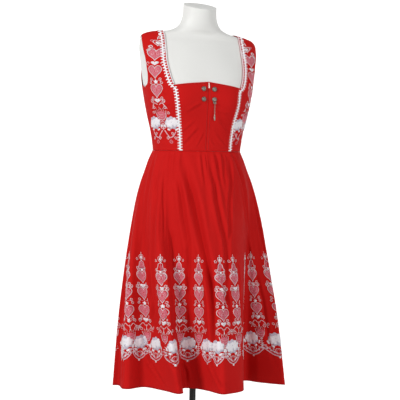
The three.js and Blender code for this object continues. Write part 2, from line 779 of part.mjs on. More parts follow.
function piece(name, geometry, colour, roughness, metalness = 0) {
  const material = new THREE.MeshStandardMaterial({ color: colour, roughness, metalness });
  const mesh = new THREE.Mesh(geometry, material);
  mesh.name = name;
  return mesh;
}

const cloth = (name, geometry) => piece(name, geometry, RED, 0.7);
const metal = (name, geometry) => piece(name, geometry, SILVER, 0.35, 0.9);

const bodice = new THREE.Group();
const front = frontPanel();
const sides = sideFrontPanel();
const back = backPanel();
bodice.add(cloth("bodice_front_left", clothOnForm(front)));
bodice.add(cloth("bodice_front_right", clothOnForm(mirrored(front))));
bodice.add(cloth("bodice_side_front_left", clothOnForm(sides)));
bodice.add(cloth("bodice_side_front_right", clothOnForm(mirrored(sides))));
bodice.add(cloth("bodice_back", clothOnForm(back, keepBack(back))));
bodice.add(piece("lace_trim_left", laceTrim(1), LACE_WHITE, 0.8));
bodice.add(piece("lace_trim_right", laceTrim(-1), LACE_WHITE, 0.8));
bodice.add(piece("zip_tape", zipTape(), RED, 0.8));

const skirt = new THREE.Group();
skirt.add(cloth("skirt_front", skirtPanel(SKIRT.seam, SKIRT.seam + 0.5)));
skirt.add(cloth("skirt_back", skirtPanel(SKIRT.seam + 0.5, SKIRT.seam + 1)));

const fastenings = new THREE.Group();
for (const [side, name] of [[-1, "right"], [1, "left"]])
  for (const level of ["upper", "lower"]) {
    const button = metal(`button_${level}_${name}`, buttonGeometry());
    fastenings.add(place(button, (side * BUTTON.apart) / 2, BUTTON[level], 0.5));
  }
const pull = piece("zip_slider", zipPull().rotateX(Math.PI / 2), RED, 0.4, 0.5);
const pullSeat = onBodice(0, NECKLINE - 3 - ZIP.pullLong / 2);
pull.quaternion.setFromUnitVectors(new THREE.Vector3(0, -1, 0), pullSeat.normal);
pull.position.copy(pullSeat.p).addScaledVector(pullSeat.normal, 0.6);
fastenings.add(pull);
const hanger = metal("pendant_hanger", pendantHanger());
const drop = metal("pendant", pendantDrop());
hanger.position.copy(pivot);
drop.position.copy(pivot);
fastenings.add(hanger, drop);

const stand = new THREE.Group();
stand.add(piece("form_torso", formTorso(), WHITE, 0.6));
const poleLong = FORM_BOTTOM - FOOT.thick - 2 * CLOTH.seam;
const pole = piece(
  "stand_pole",
  new THREE.CylinderGeometry(POLE.radius, POLE.radius, poleLong, 32).rotateX(Math.PI / 2),
  BLACK, 0.5, 0.3,
);
pole.position.z = FOOT.thick + CLOTH.seam + poleLong / 2;
stand.add(pole, piece("stand_base", footPlate(), BLACK, 0.5, 0.3));

const root = new THREE.Group();
root.add(bodice, skirt, fastenings, stand);
export default root;
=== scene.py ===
"""A red dirndl on a dress form, in metres, +Z up. The front faces -Y and the wearer's right is -X.

Every surface is worked out in millimetres, as whole arrays, and put into its mesh in metres.
"""

import bpy
import numpy as np
from mathutils import Matrix, Vector


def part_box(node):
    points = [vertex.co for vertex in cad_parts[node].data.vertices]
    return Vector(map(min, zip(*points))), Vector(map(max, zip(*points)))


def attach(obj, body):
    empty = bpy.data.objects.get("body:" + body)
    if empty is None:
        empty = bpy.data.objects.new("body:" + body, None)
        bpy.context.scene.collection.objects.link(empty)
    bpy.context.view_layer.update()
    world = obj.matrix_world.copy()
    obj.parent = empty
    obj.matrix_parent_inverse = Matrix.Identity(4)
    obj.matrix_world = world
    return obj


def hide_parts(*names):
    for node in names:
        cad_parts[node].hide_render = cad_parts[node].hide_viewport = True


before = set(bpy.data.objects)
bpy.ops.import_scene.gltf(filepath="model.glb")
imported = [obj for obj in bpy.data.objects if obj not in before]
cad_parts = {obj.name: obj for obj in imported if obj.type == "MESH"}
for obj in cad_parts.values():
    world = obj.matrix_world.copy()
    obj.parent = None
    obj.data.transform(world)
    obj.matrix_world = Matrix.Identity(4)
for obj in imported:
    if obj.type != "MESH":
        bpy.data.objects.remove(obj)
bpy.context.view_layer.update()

MM = 0.001
TO_FRONT = np.array([0.0, -1.0, 0.0])
MIRRORED = np.array([-1.0, 1.0, 1.0])
SIDES = ((1, "left"), (-1, "right"))

# Driving heights, from the floor
HEM = 307.0
WAIST = 1035.0
FORM_BOTTOM = 815.0
NECK_TOP = 1482.0
SKIRT_DROP = WAIST - HEM

# Room under the cloth, the solid's wall, the drawn cloth's thickness and the gap at a seam
CLEAR = 2.2
CLEAR_AT_SHOULDER = 1.5
WALL = 1.6
SHELL = 0.8
SEAM = 0.3
# How far an edge turns in over a seam, and over which width
EDGE_TURN, EDGE_WIDTH = 0.7, 1.3
SKIRT_LIFT = 1.0

# Level sections of the form: height, half width, front, back, centre line, squareness
FORM_SECTIONS = np.array([
    (815, 160, 96, 112, 0, 2.2), (880, 161, 98, 114, 0, 2.2), (945, 154, 96, 108, 0, 2.2),
    (1000, 141, 90, 97, 0, 2.2), (1035, 135, 87, 91, 0, 2.2), (1066, 138.5, 88, 92, 0, 2.2),
    (1096, 143.5, 90, 95, 0, 2.25), (1143, 155, 94, 100, 0, 2.3), (1190, 164, 97, 105, 0, 2.45),
    (1221, 168.5, 96, 107, 0, 2.6), (1250, 172, 92, 108, 0, 2.7), (1275, 177, 85, 107, 0, 2.6),
    (1300, 182, 77, 104, 0, 2.4), (1322, 186, 69, 98, 0, 2.3), (1342, 189, 61, 90, 1, 2.2),
    (1364, 188, 52, 78, 3, 2.1), (1380, 180, 45, 66, 5, 2.05), (1390, 156, 43, 58, 5, 2.0),
    (1397, 118, 43, 54, 3, 2.0), (1404, 90, 45, 52, 1, 2.0), (1416, 69, 47, 51, -1, 2.0),
    (1432, 58, 49, 51, -3, 2.0), (1452, 53, 50, 51, -5, 2.0), (1487, 51, 51, 51, -8, 2.0),
])
# Rises and hollows of the form's front: aside, height, rise, half width, reach above, reach below
FRONT_RELIEF = [(78, 1182, 15, 40, 46, 44), (122, 1340, -14, 46, 34, 42)]
LEAN_SLOPE, LEAN_FROM, LEAN_FULL = 0.031, 1060, 1300
TILT_SLOPE, TILT_FROM = 0.28, 1430

# Lines drawn on the body, waist to shoulder, for one side
PRINCESS = [
    (82, -79, 1035), (86, -85, 1080), (94, -92, 1140), (100, -96, 1184), (105, -96, 1213),
    (109, -94, 1232), (117, -82, 1262), (122, -60, 1305), (119, -35, 1345), (115, -12, 1379),
    (113, 6, 1394),
]
SIDE_FRONT = [
    (135, 0, 1035), (141, 0, 1080), (154, 0, 1140), (163, 0, 1186), (168, 0, 1221),
    (169, -22, 1234), (171, -29, 1262), (176, -24, 1305), (181, -12, 1345), (180, -3, 1366),
    (176, 7, 1380),
]
CENTRE_FRONT = [
    (0, -87, 1035), (0, -89, 1080), (0, -95, 1140), (0, -99, 1184), (0, -97, 1215), (0, -94, 1245),
]
BACK_LINE = [
    (62, 84, 1035), (66, 87, 1080), (74, 94, 1140), (82, 98, 1184), (87, 100, 1215),
    (91, 101, 1240), (97, 98, 1280), (103, 90, 1320), (108, 66, 1352), (112, 36, 1380),
    (113, 6, 1394),
]
SIDE_BACK = [
    (135, 0, 1035), (141, 0, 1080), (154, 0, 1140), (163, 0, 1186), (168, 0, 1221),
    (167, 37, 1236), (163, 56, 1270), (163, 60, 1310), (166, 47, 1347), (171, 27, 1366),
    (176, 7, 1380),
]
CENTRE_BACK = [
    (0, 91, 1035), (0, 94, 1080), (0, 99, 1140), (0, 104, 1184), (0, 107, 1215), (0, 108, 1240),
    (0, 107, 1280), (0, 101, 1316),
]
STATIONS = 10
NECK_STATION = 5
BACK_NECK_STATION = 7

# Folds of the hem, from the wearer's right side over the front to the left and round the back:
# turn in degrees from the front, distance out from the axis, and where the fold leaves the waist
HEM_FOLDS = [
    (-103, 263, 0), (-101.8, 246, None), (-86, 247, None), (-83.4, 235, None), (-89.3, 175, 0.043),
    (-60.6, 158, None), (-37.1, 187, None), (-34.9, 171, None), (-50.1, 80, 0.136), (-20, 78, None),
    (-3.1, 120, 0.172), (4, 189, None), (13.4, 185, 0.305), (33.7, 172, None), (101.5, 163, 0.456),
    (101.8, 186, None), (88.5, 208, None), (76.2, 277, None), (94, 242, None), (106, 262, None),
    (113, 196, None), (128, 238, None), (137, 168, None), (150, 220, None), (154, 148, None),
    (171, 205, None), (187, 136, None), (197, 206, None), (216, 152, None), (217, 226, None),
    (237, 186, None), (240, 246, None), (251, 212, None),
]
SWAY = (13.0, -5.0)
BELL_HALF, BELL_FRONT, BELL_BACK, BELL_SQUARE = 232.0, 152.0, 178.0, 2.1
# Share of the way down, how far the skirt has spread, how far its folds have formed
DOWN_ROWS = np.array([
    (0, 0, 0), (0.06, 0.16, 0.02), (0.14, 0.38, 0.09), (0.21, 0.51, 0.15), (0.36, 0.67, 0.32),
    (0.52, 0.79, 0.52), (0.72, 0.9, 0.75), (1, 1, 1),
])
PLEATS, PLEAT_DEPTH, PLEAT_PEAK, PLEAT_FADE = 30, 2.6, 0.05, 0.16
SKIRT_START = -100
SKIRT_SEAM = 0.028
# Room between skirt and form: at the waist, further down, and how far down it is full
KEEP_OFF_WAIST, KEEP_OFF, KEEP_OFF_FULL = 2.6, 7.0, 60
# Heights between which the form stops holding the skirt off, and how softly it does so
HOLD_BOTTOM, HOLD_TOP, HOLD_SOFT = 640, 800, 5
SPLINE_STEPS = 24
# The stitched line of the hem, a shallow groove
HEM_STITCH_HEIGHT, HEM_STITCH_DEPTH = 26, 0.5

# Creases of the skirt: depth and half width in mm, then the way that each one
# runs as (share of the way down, share of the way round)
SKIRT_CREASES = [
    (3.0, 5.0, [(0.03, 0.094), (0.14, 0.097), (0.2, 0.101), (0.42, 0.095), (0.62, 0.095), (0.84, 0.076)]),
    (1.6, 3.0, [(0.1, 0.124), (0.15, 0.125), (0.27, 0.13), (0.42, 0.127)]),
    (4.2, 6.0, [(0.02, 0.155), (0.09, 0.165), (0.18, 0.183), (0.28, 0.189), (0.39, 0.2),
                (0.62, 0.195), (0.9, 0.197)]),
    (8.4, 9.0, [(0.01, 0.186), (0.05, 0.192), (0.14, 0.21), (0.24, 0.227), (0.32, 0.236), (0.44, 0.249),
                (0.57, 0.261), (0.82, 0.259)]),
    (4.6, 5.6, [(0.01, 0.28), (0.06, 0.288), (0.13, 0.294), (0.2, 0.292), (0.29, 0.298), (0.37, 0.305),
                (0.42, 0.304), (0.79, 0.281)]),
    (2.0, 4.5, [(0.0, 0.321), (0.04, 0.318), (0.1, 0.313), (0.2, 0.309)]),
    (2.6, 4.0, [(0.02, 0.378), (0.05, 0.373), (0.2, 0.335), (0.37, 0.315), (0.5, 0.312)]),
    (4.0, 5.0, [(0.0, 0.405), (0.12, 0.413), (0.23, 0.416), (0.43, 0.444), (0.6, 0.446)]),
    (0.8, 1.2, [(0.0, 0.2735), (0.03, 0.2735), (0.07, 0.2735), (0.09, 0.2735)]),
    (5.6, 5.5, [(0.4, 0.068), (0.51, 0.08), (0.6, 0.083), (0.66, 0.091), (0.78, 0.086)]),
    (5.0, 5.0, [(0.76, 0.064), (0.82, 0.072), (0.9, 0.086), (0.96, 0.112), (1.0, 0.12)]),
    (4.4, 4.6, [(0.77, 0.114), (0.82, 0.121), (0.88, 0.136), (0.94, 0.152)]),
    (3.8, 4.8, [(0.85, 0.246), (0.9, 0.253), (0.95, 0.267), (1.0, 0.28)]),
    (3.8, 6.0, [(0.44, 0.121), (0.55, 0.122), (0.68, 0.124), (0.82, 0.128)]),
    (2.0, 3.5, [(0.46, 0.189), (0.52, 0.193), (0.62, 0.201), (0.72, 0.205)]),
    (6.4, 7.0, [(0.46, 0.25), (0.53, 0.257), (0.65, 0.261), (0.78, 0.259), (0.94, 0.256)]),
    (4.0, 5.0, [(0.5, 0.284), (0.59, 0.291), (0.65, 0.298), (0.78, 0.303)]),
    (2.2, 4.2, [(0.86, 0.03), (0.92, 0.035), (1.0, 0.036)]),
    (3.6, 4.4, [(0.88, 0.19), (0.93, 0.2), (1.0, 0.204)]),
    (2.0, 5.0, [(0.5, 0.46), (0.64, 0.466), (0.82, 0.463), (0.96, 0.468)]),
    (1.6, 3.4, [(0.0, 0.133), (0.02, 0.135), (0.08, 0.141), (0.16, 0.146)]),
    (1.5, 3.0, [(0.0, 0.256), (0.09, 0.259), (0.17, 0.262)]),
    (1.7, 3.4, [(0.0, 0.349), (0.1, 0.332), (0.16, 0.33)]),
    (2.4, 4.0, [(0.0, 0.062), (0.1, 0.066), (0.25, 0.064), (0.45, 0.052)]),
    (1.8, 4.0, [(0.0, 0.025), (0.12, 0.022), (0.3, 0.024)]),
    (2.2, 4.4, [(0.3, 0.152), (0.46, 0.158), (0.66, 0.16), (0.8, 0.158)]),
    (1.7, 5.0, [(0.45, 0.335), (0.62, 0.332), (0.85, 0.328)]),
    (3.2, 5.0, [(0.02, 0.485), (0.16, 0.49), (0.4, 0.494), (0.66, 0.49)]),
    (2.2, 3.6, [(0.0, 0.521), (0.1, 0.524), (0.3, 0.527)]),
    (4.0, 6.0, [(0.02, 0.556), (0.2, 0.56), (0.44, 0.566), (0.72, 0.562)]),
    (1.9, 3.4, [(0.0, 0.59), (0.09, 0.594), (0.26, 0.6)]),
    (3.4, 5.4, [(0.02, 0.628), (0.18, 0.633), (0.38, 0.641), (0.6, 0.64)]),
    (2.0, 4.0, [(0.0, 0.667), (0.14, 0.669), (0.24, 0.672)]),
    (4.4, 6.6, [(0.01, 0.703), (0.16, 0.707), (0.36, 0.716), (0.64, 0.721), (0.8, 0.72)]),
    (1.6, 3.2, [(0.0, 0.744), (0.12, 0.742), (0.3, 0.744)]),
    (3.0, 5.0, [(0.02, 0.778), (0.2, 0.776), (0.5, 0.783)]),
    (2.6, 4.0, [(0.0, 0.826), (0.12, 0.829), (0.34, 0.824), (0.5, 0.826)]),
    (3.8, 6.0, [(0.02, 0.868), (0.2, 0.866), (0.46, 0.873), (0.7, 0.87)]),
    (1.8, 3.4, [(0.0, 0.905), (0.1, 0.908), (0.24, 0.912)]),
    (3.0, 4.6, [(0.01, 0.944), (0.18, 0.948), (0.42, 0.952), (0.6, 0.95)]),
    (2.0, 3.8, [(0.0, 0.982), (0.12, 0.985), (0.36, 0.983)]),
]
# All of the skirt's creases are drawn this much deeper and wider
CREASE_DEPTH, CREASE_WIDTH = 1.6, 1.25

# Drag creases of the bodice's front, then of its back: depth, half width, and two ends as (x, height)
BODICE_CREASES = [
    (1.1, 5.0, (-70, 1052), (-26, 1104)), (0.9, 4.5, (-84, 1082), (-40, 1122)),
    (1.0, 5.5, (-66, 1150), (-20, 1178)), (0.8, 4.0, (-30, 1046), (-8, 1092)),
    (1.0, 5.0, (64, 1054), (24, 1100)), (0.9, 5.0, (78, 1096), (30, 1132)),
    (1.1, 5.5, (70, 1156), (24, 1176)), (0.7, 4.0, (28, 1050), (10, 1080)),
    (1.1, 5.0, (-128, 1060), (-96, 1098)), (0.9, 4.5, (-140, 1106), (-104, 1130)),
    (1.0, 5.0, (-150, 1150), (-112, 1172)), (0.8, 4.5, (-150, 1214), (-124, 1196)),
    (1.1, 5.0, (126, 1056), (98, 1094)), (1.0, 4.5, (142, 1112), (106, 1136)),
    (0.9, 5.0, (152, 1168), (116, 1180)), (0.8, 4.5, (158, 1226), (126, 1206)),
]
BACK_CREASES = [
    (1.0, 5.0, (-104, 1052), (-58, 1096)), (0.9, 4.5, (-92, 1088), (-44, 1126)),
    (1.1, 5.0, (100, 1050), (56, 1092)), (0.8, 4.5, (90, 1090), (46, 1120)),
    (0.8, 4.0, (-40, 1046), (-14, 1088)), (0.8, 4.2, (44, 1048), (18, 1082)),
    (0.8, 5.0, (-110, 1190), (-60, 1206)), (0.9, 5.5, (112, 1186), (62, 1210)),
]
# The front's are drawn this much deeper, and front and back meet at this y
FRONT_CREASE_DEPTH = 1.6
FRONT_BACK_SPLIT = 20
# The y near the bodice's front from where points are landed on it
FRONT_NEAR = -95.0

# Embroidery of the skirt: columns in front as (share at the border, share at the spire), then the
# flowers of the border in front. All heights are above the hem.
FRONT_COLUMNS = [
    (0.048, 0.009), (0.077, 0.051), (0.121, 0.116), (0.185, 0.174), (0.221, 0.229), (0.281, 0.283),
    (0.315, 0.318), (0.398, 0.4), (0.452, 0.449), (0.498, 0.492),
]
BACK_COLUMNS = 11
FRONT_FLOWERS = [0.034, 0.063, 0.097, 0.142, 0.201, 0.242, 0.266, 0.297, 0.352, 0.432, 0.477]
BORDER_HEIGHT, SPIRE_HEIGHT = 130.0, 417.0
FLOWER_HEIGHT, FLOWER_SIZE = 141, (52, 42)
GARLAND_LEAST, GARLAND_MOST = 26, 60
# The middle of a side-front panel's embroidery, as its height and its turn from the front
PANEL_COLUMN = np.array([
    (1035, 68), (1066, 68.5), (1106, 67.5), (1140, 67.5), (1180, 70), (1212, 70), (1234, 70),
    (1268, 71.5), (1284, 72.5), (1318, 74.5), (1350, 75), (1372, 77.5),
])
LACE_WIDTH, LACE_CORE, LACE_PITCH = 13.0, 4.4, 8.6
# Above the neckline the lace lies this far outward of the seam's line
LACE_ASIDE = 11
EDGING_WIDTH, EDGING_WAVE = 2.5, 3.6

BUTTON_RADIUS, BUTTON_HEIGHT, BUTTON_APART = 7.3, 5.0, 34.6
BUTTON_LEVELS = {"upper": 1223.0, "lower": 1192.0}
# The pendant: how far under its top the eye and the first link hang, the links' count and pitch
EYE_DOWN, LINK_DOWN, LINKS, LINK_PITCH = 2.4, 6.2, 7, 4.1

CAMERA_TURN = 20.0
CAMERA_AWAY = 4500.0
CAMERA_ROLL = 1.0
CAMERA_LENS, CAMERA_SENSOR = 130.6, 36
AIM_ASIDE, AIM_HEIGHT = 12.9, 883.3
# The floor's profile, away from the camera: flat, then turned up far behind the dress
FLOOR_PROFILE = [(-12000, 0), (5000, 0), (5900, 60), (6600, 260), (7100, 700), (7400, 1400), (7400, 9000)]
FLOOR_HALF_WIDTH = 12000.0
LIGHT_AIM = (0, 0, 0.9)
WORLD_LIGHT = 0.35


def smooth(start, end, value):
    """0 before start, 1 after end, with level ends: 3t^2 - 2t^3."""
    t = np.clip((value - start) / (end - start), 0, 1)
    return t * t * (3 - 2 * t)


def mix(a, b, share):
    """a at share 0 and b at share 1."""
    return a * (1 - share) + b * share


def unit(v):
    """Vectors scaled to length 1."""
    return v / np.maximum(np.linalg.norm(v, axis=-1, keepdims=True), 1e-9)


def curve_through(xs, ys):
    """Cubic curve through points with no overshoot: each slope is the weighted harmonic mean of
    the chords on either side, or 0 where they differ in sign."""
    x, y = np.asarray(xs, float), np.asarray(ys, float)
    step = np.diff(x)
    chord = np.diff(y) / step
    slope = np.zeros_like(y)
    slope[0], slope[-1] = chord[0], chord[-1]
    before, after = chord[:-1], chord[1:]
    first = 2 * step[1:] + step[:-1]
    second = step[1:] + 2 * step[:-1]
    same = before * after > 0
    slope[1:-1][same] = (first + second)[same] / (first[same] / before[same] + second[same] / after[same])

    def at(value):
        value = np.asarray(value, float)
        i = np.clip(np.searchsorted(x, value, side="left") - 1, 0, len(step) - 1)
        s = np.clip((value - x[i]) / step[i], 0, 1)
        rest = 1 - s
        return (
            y[i] * (1 + 2 * s) * rest * rest
            + slope[i] * step[i] * s * rest * rest
            + y[i + 1] * s * s * (3 - 2 * s)
            - slope[i + 1] * step[i] * s * s * rest
        )

    return at


section = [curve_through(FORM_SECTIONS[:, 0], FORM_SECTIONS[:, column]) for column in range(1, 6)]


def oval_radius(turn, half, front, back, square):
    """Distance out to a level oval: (|sin/half|^n + |cos/depth|^n)^(-1/n)."""
    across = np.abs(np.sin(turn)) / half
    along = np.abs(np.cos(turn)) / np.where(np.cos(turn) > 0, front, back)
    return (across**square + along**square) ** (-1 / square)


def form_radius(turn, z):
    """The form's surface: its oval at that height plus a bump or hollow of the front's relief."""
    half, front, back, square = (section[k](z) for k in (0, 1, 2, 4))
    oval = oval_radius(turn, half, front, back, square)
    facing = np.maximum(0, np.cos(turn))
    radius = oval
    for aside_at, height, rise, wide, above, below in FRONT_RELIEF:
        aside = (np.abs(oval * np.sin(turn)) - aside_at) / wide
        aloft = (z - height) / np.where(z > height, above, below)
        radius = radius + rise * facing * np.exp(-(aside**2) - aloft**2)
    return radius


def outside(p):
    """Distance out over the form's radius there, less 1: below 0 inside the form."""
    y = p[..., 1] - section[3](p[..., 2])
    return np.hypot(p[..., 0], y) / form_radius(np.arctan2(p[..., 0], -y), p[..., 2]) - 1


def slope_of(p):
    """Change of outside() along X, Y and Z, by differences over 1 mm."""
    return np.stack([outside(p + step) - outside(p - step) for step in np.eye(3) * 0.5], -1)


def land(p, way=None):
    """Points moved along a way, or the steepest way, until they lie on the form: Newton's steps."""
    p = np.array(p, float)
    for _ in range(12):
        slope = slope_of(p)
        along = unit(slope) if way is None else way
        move = np.clip(-outside(p) / (slope * along).sum(-1), -15, 15)
        p = p + along * move[..., None]
    return p


def normal_at(p):
    """The way straight out of the form."""
    return unit(slope_of(p))


def lean(p):
    """The upper body stands askew: its height falls with x, from LEAN_FROM up."""
    q = np.array(p, float)
    q[..., 2] -= LEAN_SLOPE * q[..., 0] * smooth(LEAN_FROM, LEAN_FULL, q[..., 2])
    return q


def clearance(z):
    """Room between the form and the cloth."""
    return mix(CLEAR, CLEAR_AT_SHOULDER, smooth(1300, 1370, z))


def body_line(rows):
    """A smooth curve through its stations, laid on the form."""
    rows = np.array(rows, float)
    curves = [curve_through(np.arange(len(rows)), rows[:, k]) for k in range(3)]
    return lambda station: land(np.stack([curve(station) for curve in curves], -1))


princess = body_line(PRINCESS)
side_front = body_line(SIDE_FRONT)
centre_front = body_line(CENTRE_FRONT)
back_line = body_line(BACK_LINE)
side_back = body_line(SIDE_BACK)
centre_back = body_line(CENTRE_BACK)


def between(a, b, shares):
    """Points over the form from each a to its b, at the given shares of the way."""
    s = shares[None, :, None]
    way = unit(mix(normal_at(a)[:, None], normal_at(b)[:, None], s))
    return land(mix(a[:, None], b[:, None], s), way)


def drag_creases(p, creases):
    """Creases along lines in (x, height): each a valley with a low ridge above it, gone at its ends."""
    out = np.zeros(p.shape[:-1])
    for depth, width, start, end in creases:
        a, b = np.array(start, float), np.array(end, float)
        long = np.linalg.norm(b - a)
        way = (b - a) / long
        from_start = p[..., (0, 2)] - a
        along = (from_start @ way) / long
        aside = from_start @ np.array([-way[1], way[0]]) / width
        fade = smooth(-0.15, 0.3, along) * (1 - smooth(0.7, 1.15, along))
        out += depth * fade * (np.exp(-((aside - 1.4) ** 2)) - 0.7 * np.exp(-(aside**2)))
    return out


def bodice_relief(p):
    """The drag creases of the bodice's front."""
    return np.where(p[..., 1] < FRONT_BACK_SPLIT, FRONT_CREASE_DEPTH, 0.0) * drag_creases(p, BODICE_CREASES)


def back_relief(p):
    """Soft drag creases of the back, slanting in to the waist."""
    return np.where(p[..., 1] > FRONT_BACK_SPLIT, 1.0, 0.0) * drag_creases(p, BACK_CREASES)


def raised(p, height):
    """Points landed on the form, lifted by height over the bodice's outer face with its creases."""
    lift = clearance(p[..., 2]) + WALL + bodice_relief(p) + height
    return lean(p + normal_at(p) * lift[..., None])


def ring_of(points):
    """A closed outline asked for a point by share of its length."""
    closed = np.vstack([points, points[:1]])
    lengths = np.concatenate([[0], np.cumsum(np.linalg.norm(np.diff(closed, axis=0), axis=1))])

    def at(share):
        place = (share - np.floor(share)) * lengths[-1]
        return np.stack([np.interp(place, lengths, closed[:, k]) for k in (0, 1)], -1)

    return at, lengths


def oval_ring(radius_at):
    """A closed outline from the distance out at each turn."""
    turn = np.radians(SKIRT_START + 0.5 * np.arange(720))
    out = radius_at(turn)
    return ring_of(np.stack([out * np.sin(turn), -out * np.cos(turn)], -1))


def fold_ring():
    """The hem: a centripetal Catmull-Rom curve through the corners of HEM_FOLDS."""
    turn = np.radians([row[0] for row in HEM_FOLDS])
    out = np.array([row[1] for row in HEM_FOLDS], float)
    p1 = np.stack([out * np.sin(turn), -out * np.cos(turn)], -1)
    p0, p2, p3 = np.roll(p1, 1, 0), np.roll(p1, -1, 0), np.roll(p1, -2, 0)
    d0, d1, d2 = (np.sqrt(np.linalg.norm(b - a, axis=1))[:, None] for a, b in ((p0, p1), (p1, p2), (p2, p3)))
    t1 = ((p1 - p0) / d0 - (p2 - p0) / (d0 + d1) + (p2 - p1) / d1) * d1
    t2 = ((p2 - p1) / d1 - (p3 - p1) / (d1 + d2) + (p3 - p2) / d2) * d1
    w = (np.arange(SPLINE_STEPS) / SPLINE_STEPS)[None, :, None]
    cubes = (-3 * p1 + 3 * p2 - 2 * t1 - t2)[:, None] * w**2 + (2 * p1 - 2 * p2 + t1 + t2)[:, None] * w**3
    return ring_of((p1[:, None] + t1[:, None] * w + cubes).reshape(-1, 2))


waist_at, _ = oval_ring(lambda turn: form_radius(turn, np.full_like(turn, WAIST)) + CLEAR + WALL / 2)
bell_at, _ = oval_ring(lambda turn: oval_radius(turn, BELL_HALF, BELL_FRONT, BELL_BACK, BELL_SQUARE))
hem_at, hem_lengths = fold_ring()
spread = curve_through(DOWN_ROWS[:, 0], DOWN_ROWS[:, 1])
folded = curve_through(DOWN_ROWS[:, 0], DOWN_ROWS[:, 2])
fold_starts = [
    (row[2], hem_lengths[i * SPLINE_STEPS] / hem_lengths[-1])
    for i, row in enumerate(HEM_FOLDS)
    if row[2] is not None
]
fold_starts += [(0.6, 0.6), (1, 1)]
fold_above = curve_through([a for a, b in fold_starts], [b for a, b in fold_starts])


def folds_at(share):
    """The hem's offset from the plain bell, along the bell and out of it."""
    bell = bell_at(share)
    along = unit(bell_at(share + 0.002) - bell_at(share - 0.002))
    out = np.stack([along[..., 1], -along[..., 0]], -1)
    offset = hem_at(share) - bell
    return along, out, (offset * along).sum(-1), (offset * out).sum(-1)


def gather(share, down):
    """The waist's gathers: a wave of uneven height that grows below the seam and dies away."""
    wave = np.sin(2 * np.pi * PLEATS * share + 1.7 * np.sin(14 * np.pi * share))
    fade = np.exp(-np.maximum(0, down - PLEAT_PEAK) / PLEAT_FADE)
    uneven = 0.58 + 0.24 * np.sin(10 * np.pi * share + 2.3) + 0.18 * np.sin(26 * np.pi * share + 0.6)
    return uneven * PLEAT_DEPTH * wave * smooth(-0.03, PLEAT_PEAK, down) * fade


def skirt_middle(share, down):
    """The skirt's middle surface: the waist ring spread to the bell, moved by the folds that reach
    that far down and slant with the way down, and held off the hips."""
    share, down = np.broadcast_arrays(np.asarray(share, float), np.asarray(down, float))
    place = share - np.floor(share)
    slanted = fold_above(place) * (1 - down) + place * down
    along, out, _, _ = folds_at(place)
    _, _, aside, outward = folds_at(slanted)
    much, wide = folded(down), spread(down)[..., None]
    p = waist_at(place) * (1 - wide) + bell_at(place) * wide
    p = p + np.stack([SWAY[0] * down, SWAY[1] * down], -1)
    p = p + along * (aside * much)[..., None] + out * (outward * much + gather(place, down))[..., None]
    z = mix(WAIST - SEAM, HEM, down)
    turn, reach = np.arctan2(p[..., 0], -p[..., 1]), np.hypot(p[..., 0], p[..., 1])
    hold = smooth(HOLD_BOTTOM, HOLD_TOP, z)
    keep = mix(KEEP_OFF_WAIST, KEEP_OFF, smooth(0, KEEP_OFF_FULL, WAIST - z))
    least = (form_radius(turn, np.maximum(FORM_BOTTOM, z)) + keep) * hold
    gap = (reach - least) / HOLD_SOFT
    far_off = 30
    held = least + HOLD_SOFT * np.log1p(np.exp(np.minimum(far_off, gap)))
    held = mix(reach, held, smooth(0, KEEP_OFF_FULL / 2, WAIST - z))
    new = np.where((gap > far_off) | (hold == 0), reach, held)
    return np.concatenate([p * (new / reach)[..., None], z[..., None]], -1)


RING_SHARES = np.linspace(0, 1, 1601)
RING_DOWNS = np.linspace(0, 1, 21)
RING_LENGTHS = np.linalg.norm(
    np.diff(skirt_middle(RING_SHARES[None, :], RING_DOWNS[:, None])[..., :2], axis=1), axis=-1
).sum(1)


def ring_length(down):
    """Length of the skirt's ring at that share of the way down."""
    return np.interp(down, RING_DOWNS, RING_LENGTHS)


def skirt_crease(share, down):
    """Depth of the listed creases: a valley with a soft ridge on either side of its line."""
    out = np.zeros(share.shape)
    place = (share - SKIRT_SEAM) - np.floor(share - SKIRT_SEAM) + SKIRT_SEAM
    for depth, width, way in SKIRT_CREASES:
        way = np.array(way)
        middle = np.interp(down, way[:, 0], way[:, 1])
        middle = np.where(middle < SKIRT_SEAM, middle + 1, middle)
        aside = (place - middle) * ring_length(down) / (CREASE_WIDTH * width)
        top, bottom = way[0, 0], way[-1, 0]
        long = bottom - top
        fade = smooth(top - 0.01, top + 0.2 * long, down) * (1 - smooth(bottom - 0.45 * long, bottom, down))
        valley = np.exp(-(aside**2)) - 0.45 * np.exp(-((np.abs(aside) - 2.1) ** 2))
        out -= CREASE_DEPTH * depth * fade * valley
    return out * smooth(0, 0.02, down)


def skirt_surface(share, down, lift):
    """The skirt's outer face with its creases, lifted level out of the cloth by lift."""
    share, down = np.broadcast_arrays(np.asarray(share, float), np.asarray(down, float))
    p = skirt_middle(share, down)
    step = 0.0012
    along = unit((skirt_middle(share + step, down) - skirt_middle(share - step, down))[..., :2])
    out = np.stack([along[..., 1], -along[..., 0], np.zeros(share.shape)], -1)
    above_stitch = (1 - down) * SKIRT_DROP - HEM_STITCH_HEIGHT
    hem_groove = HEM_STITCH_DEPTH * np.exp(-(above_stitch**2) / 3.0)
    return p + out * (lift + skirt_crease(share, down) - hem_groove)[..., None]


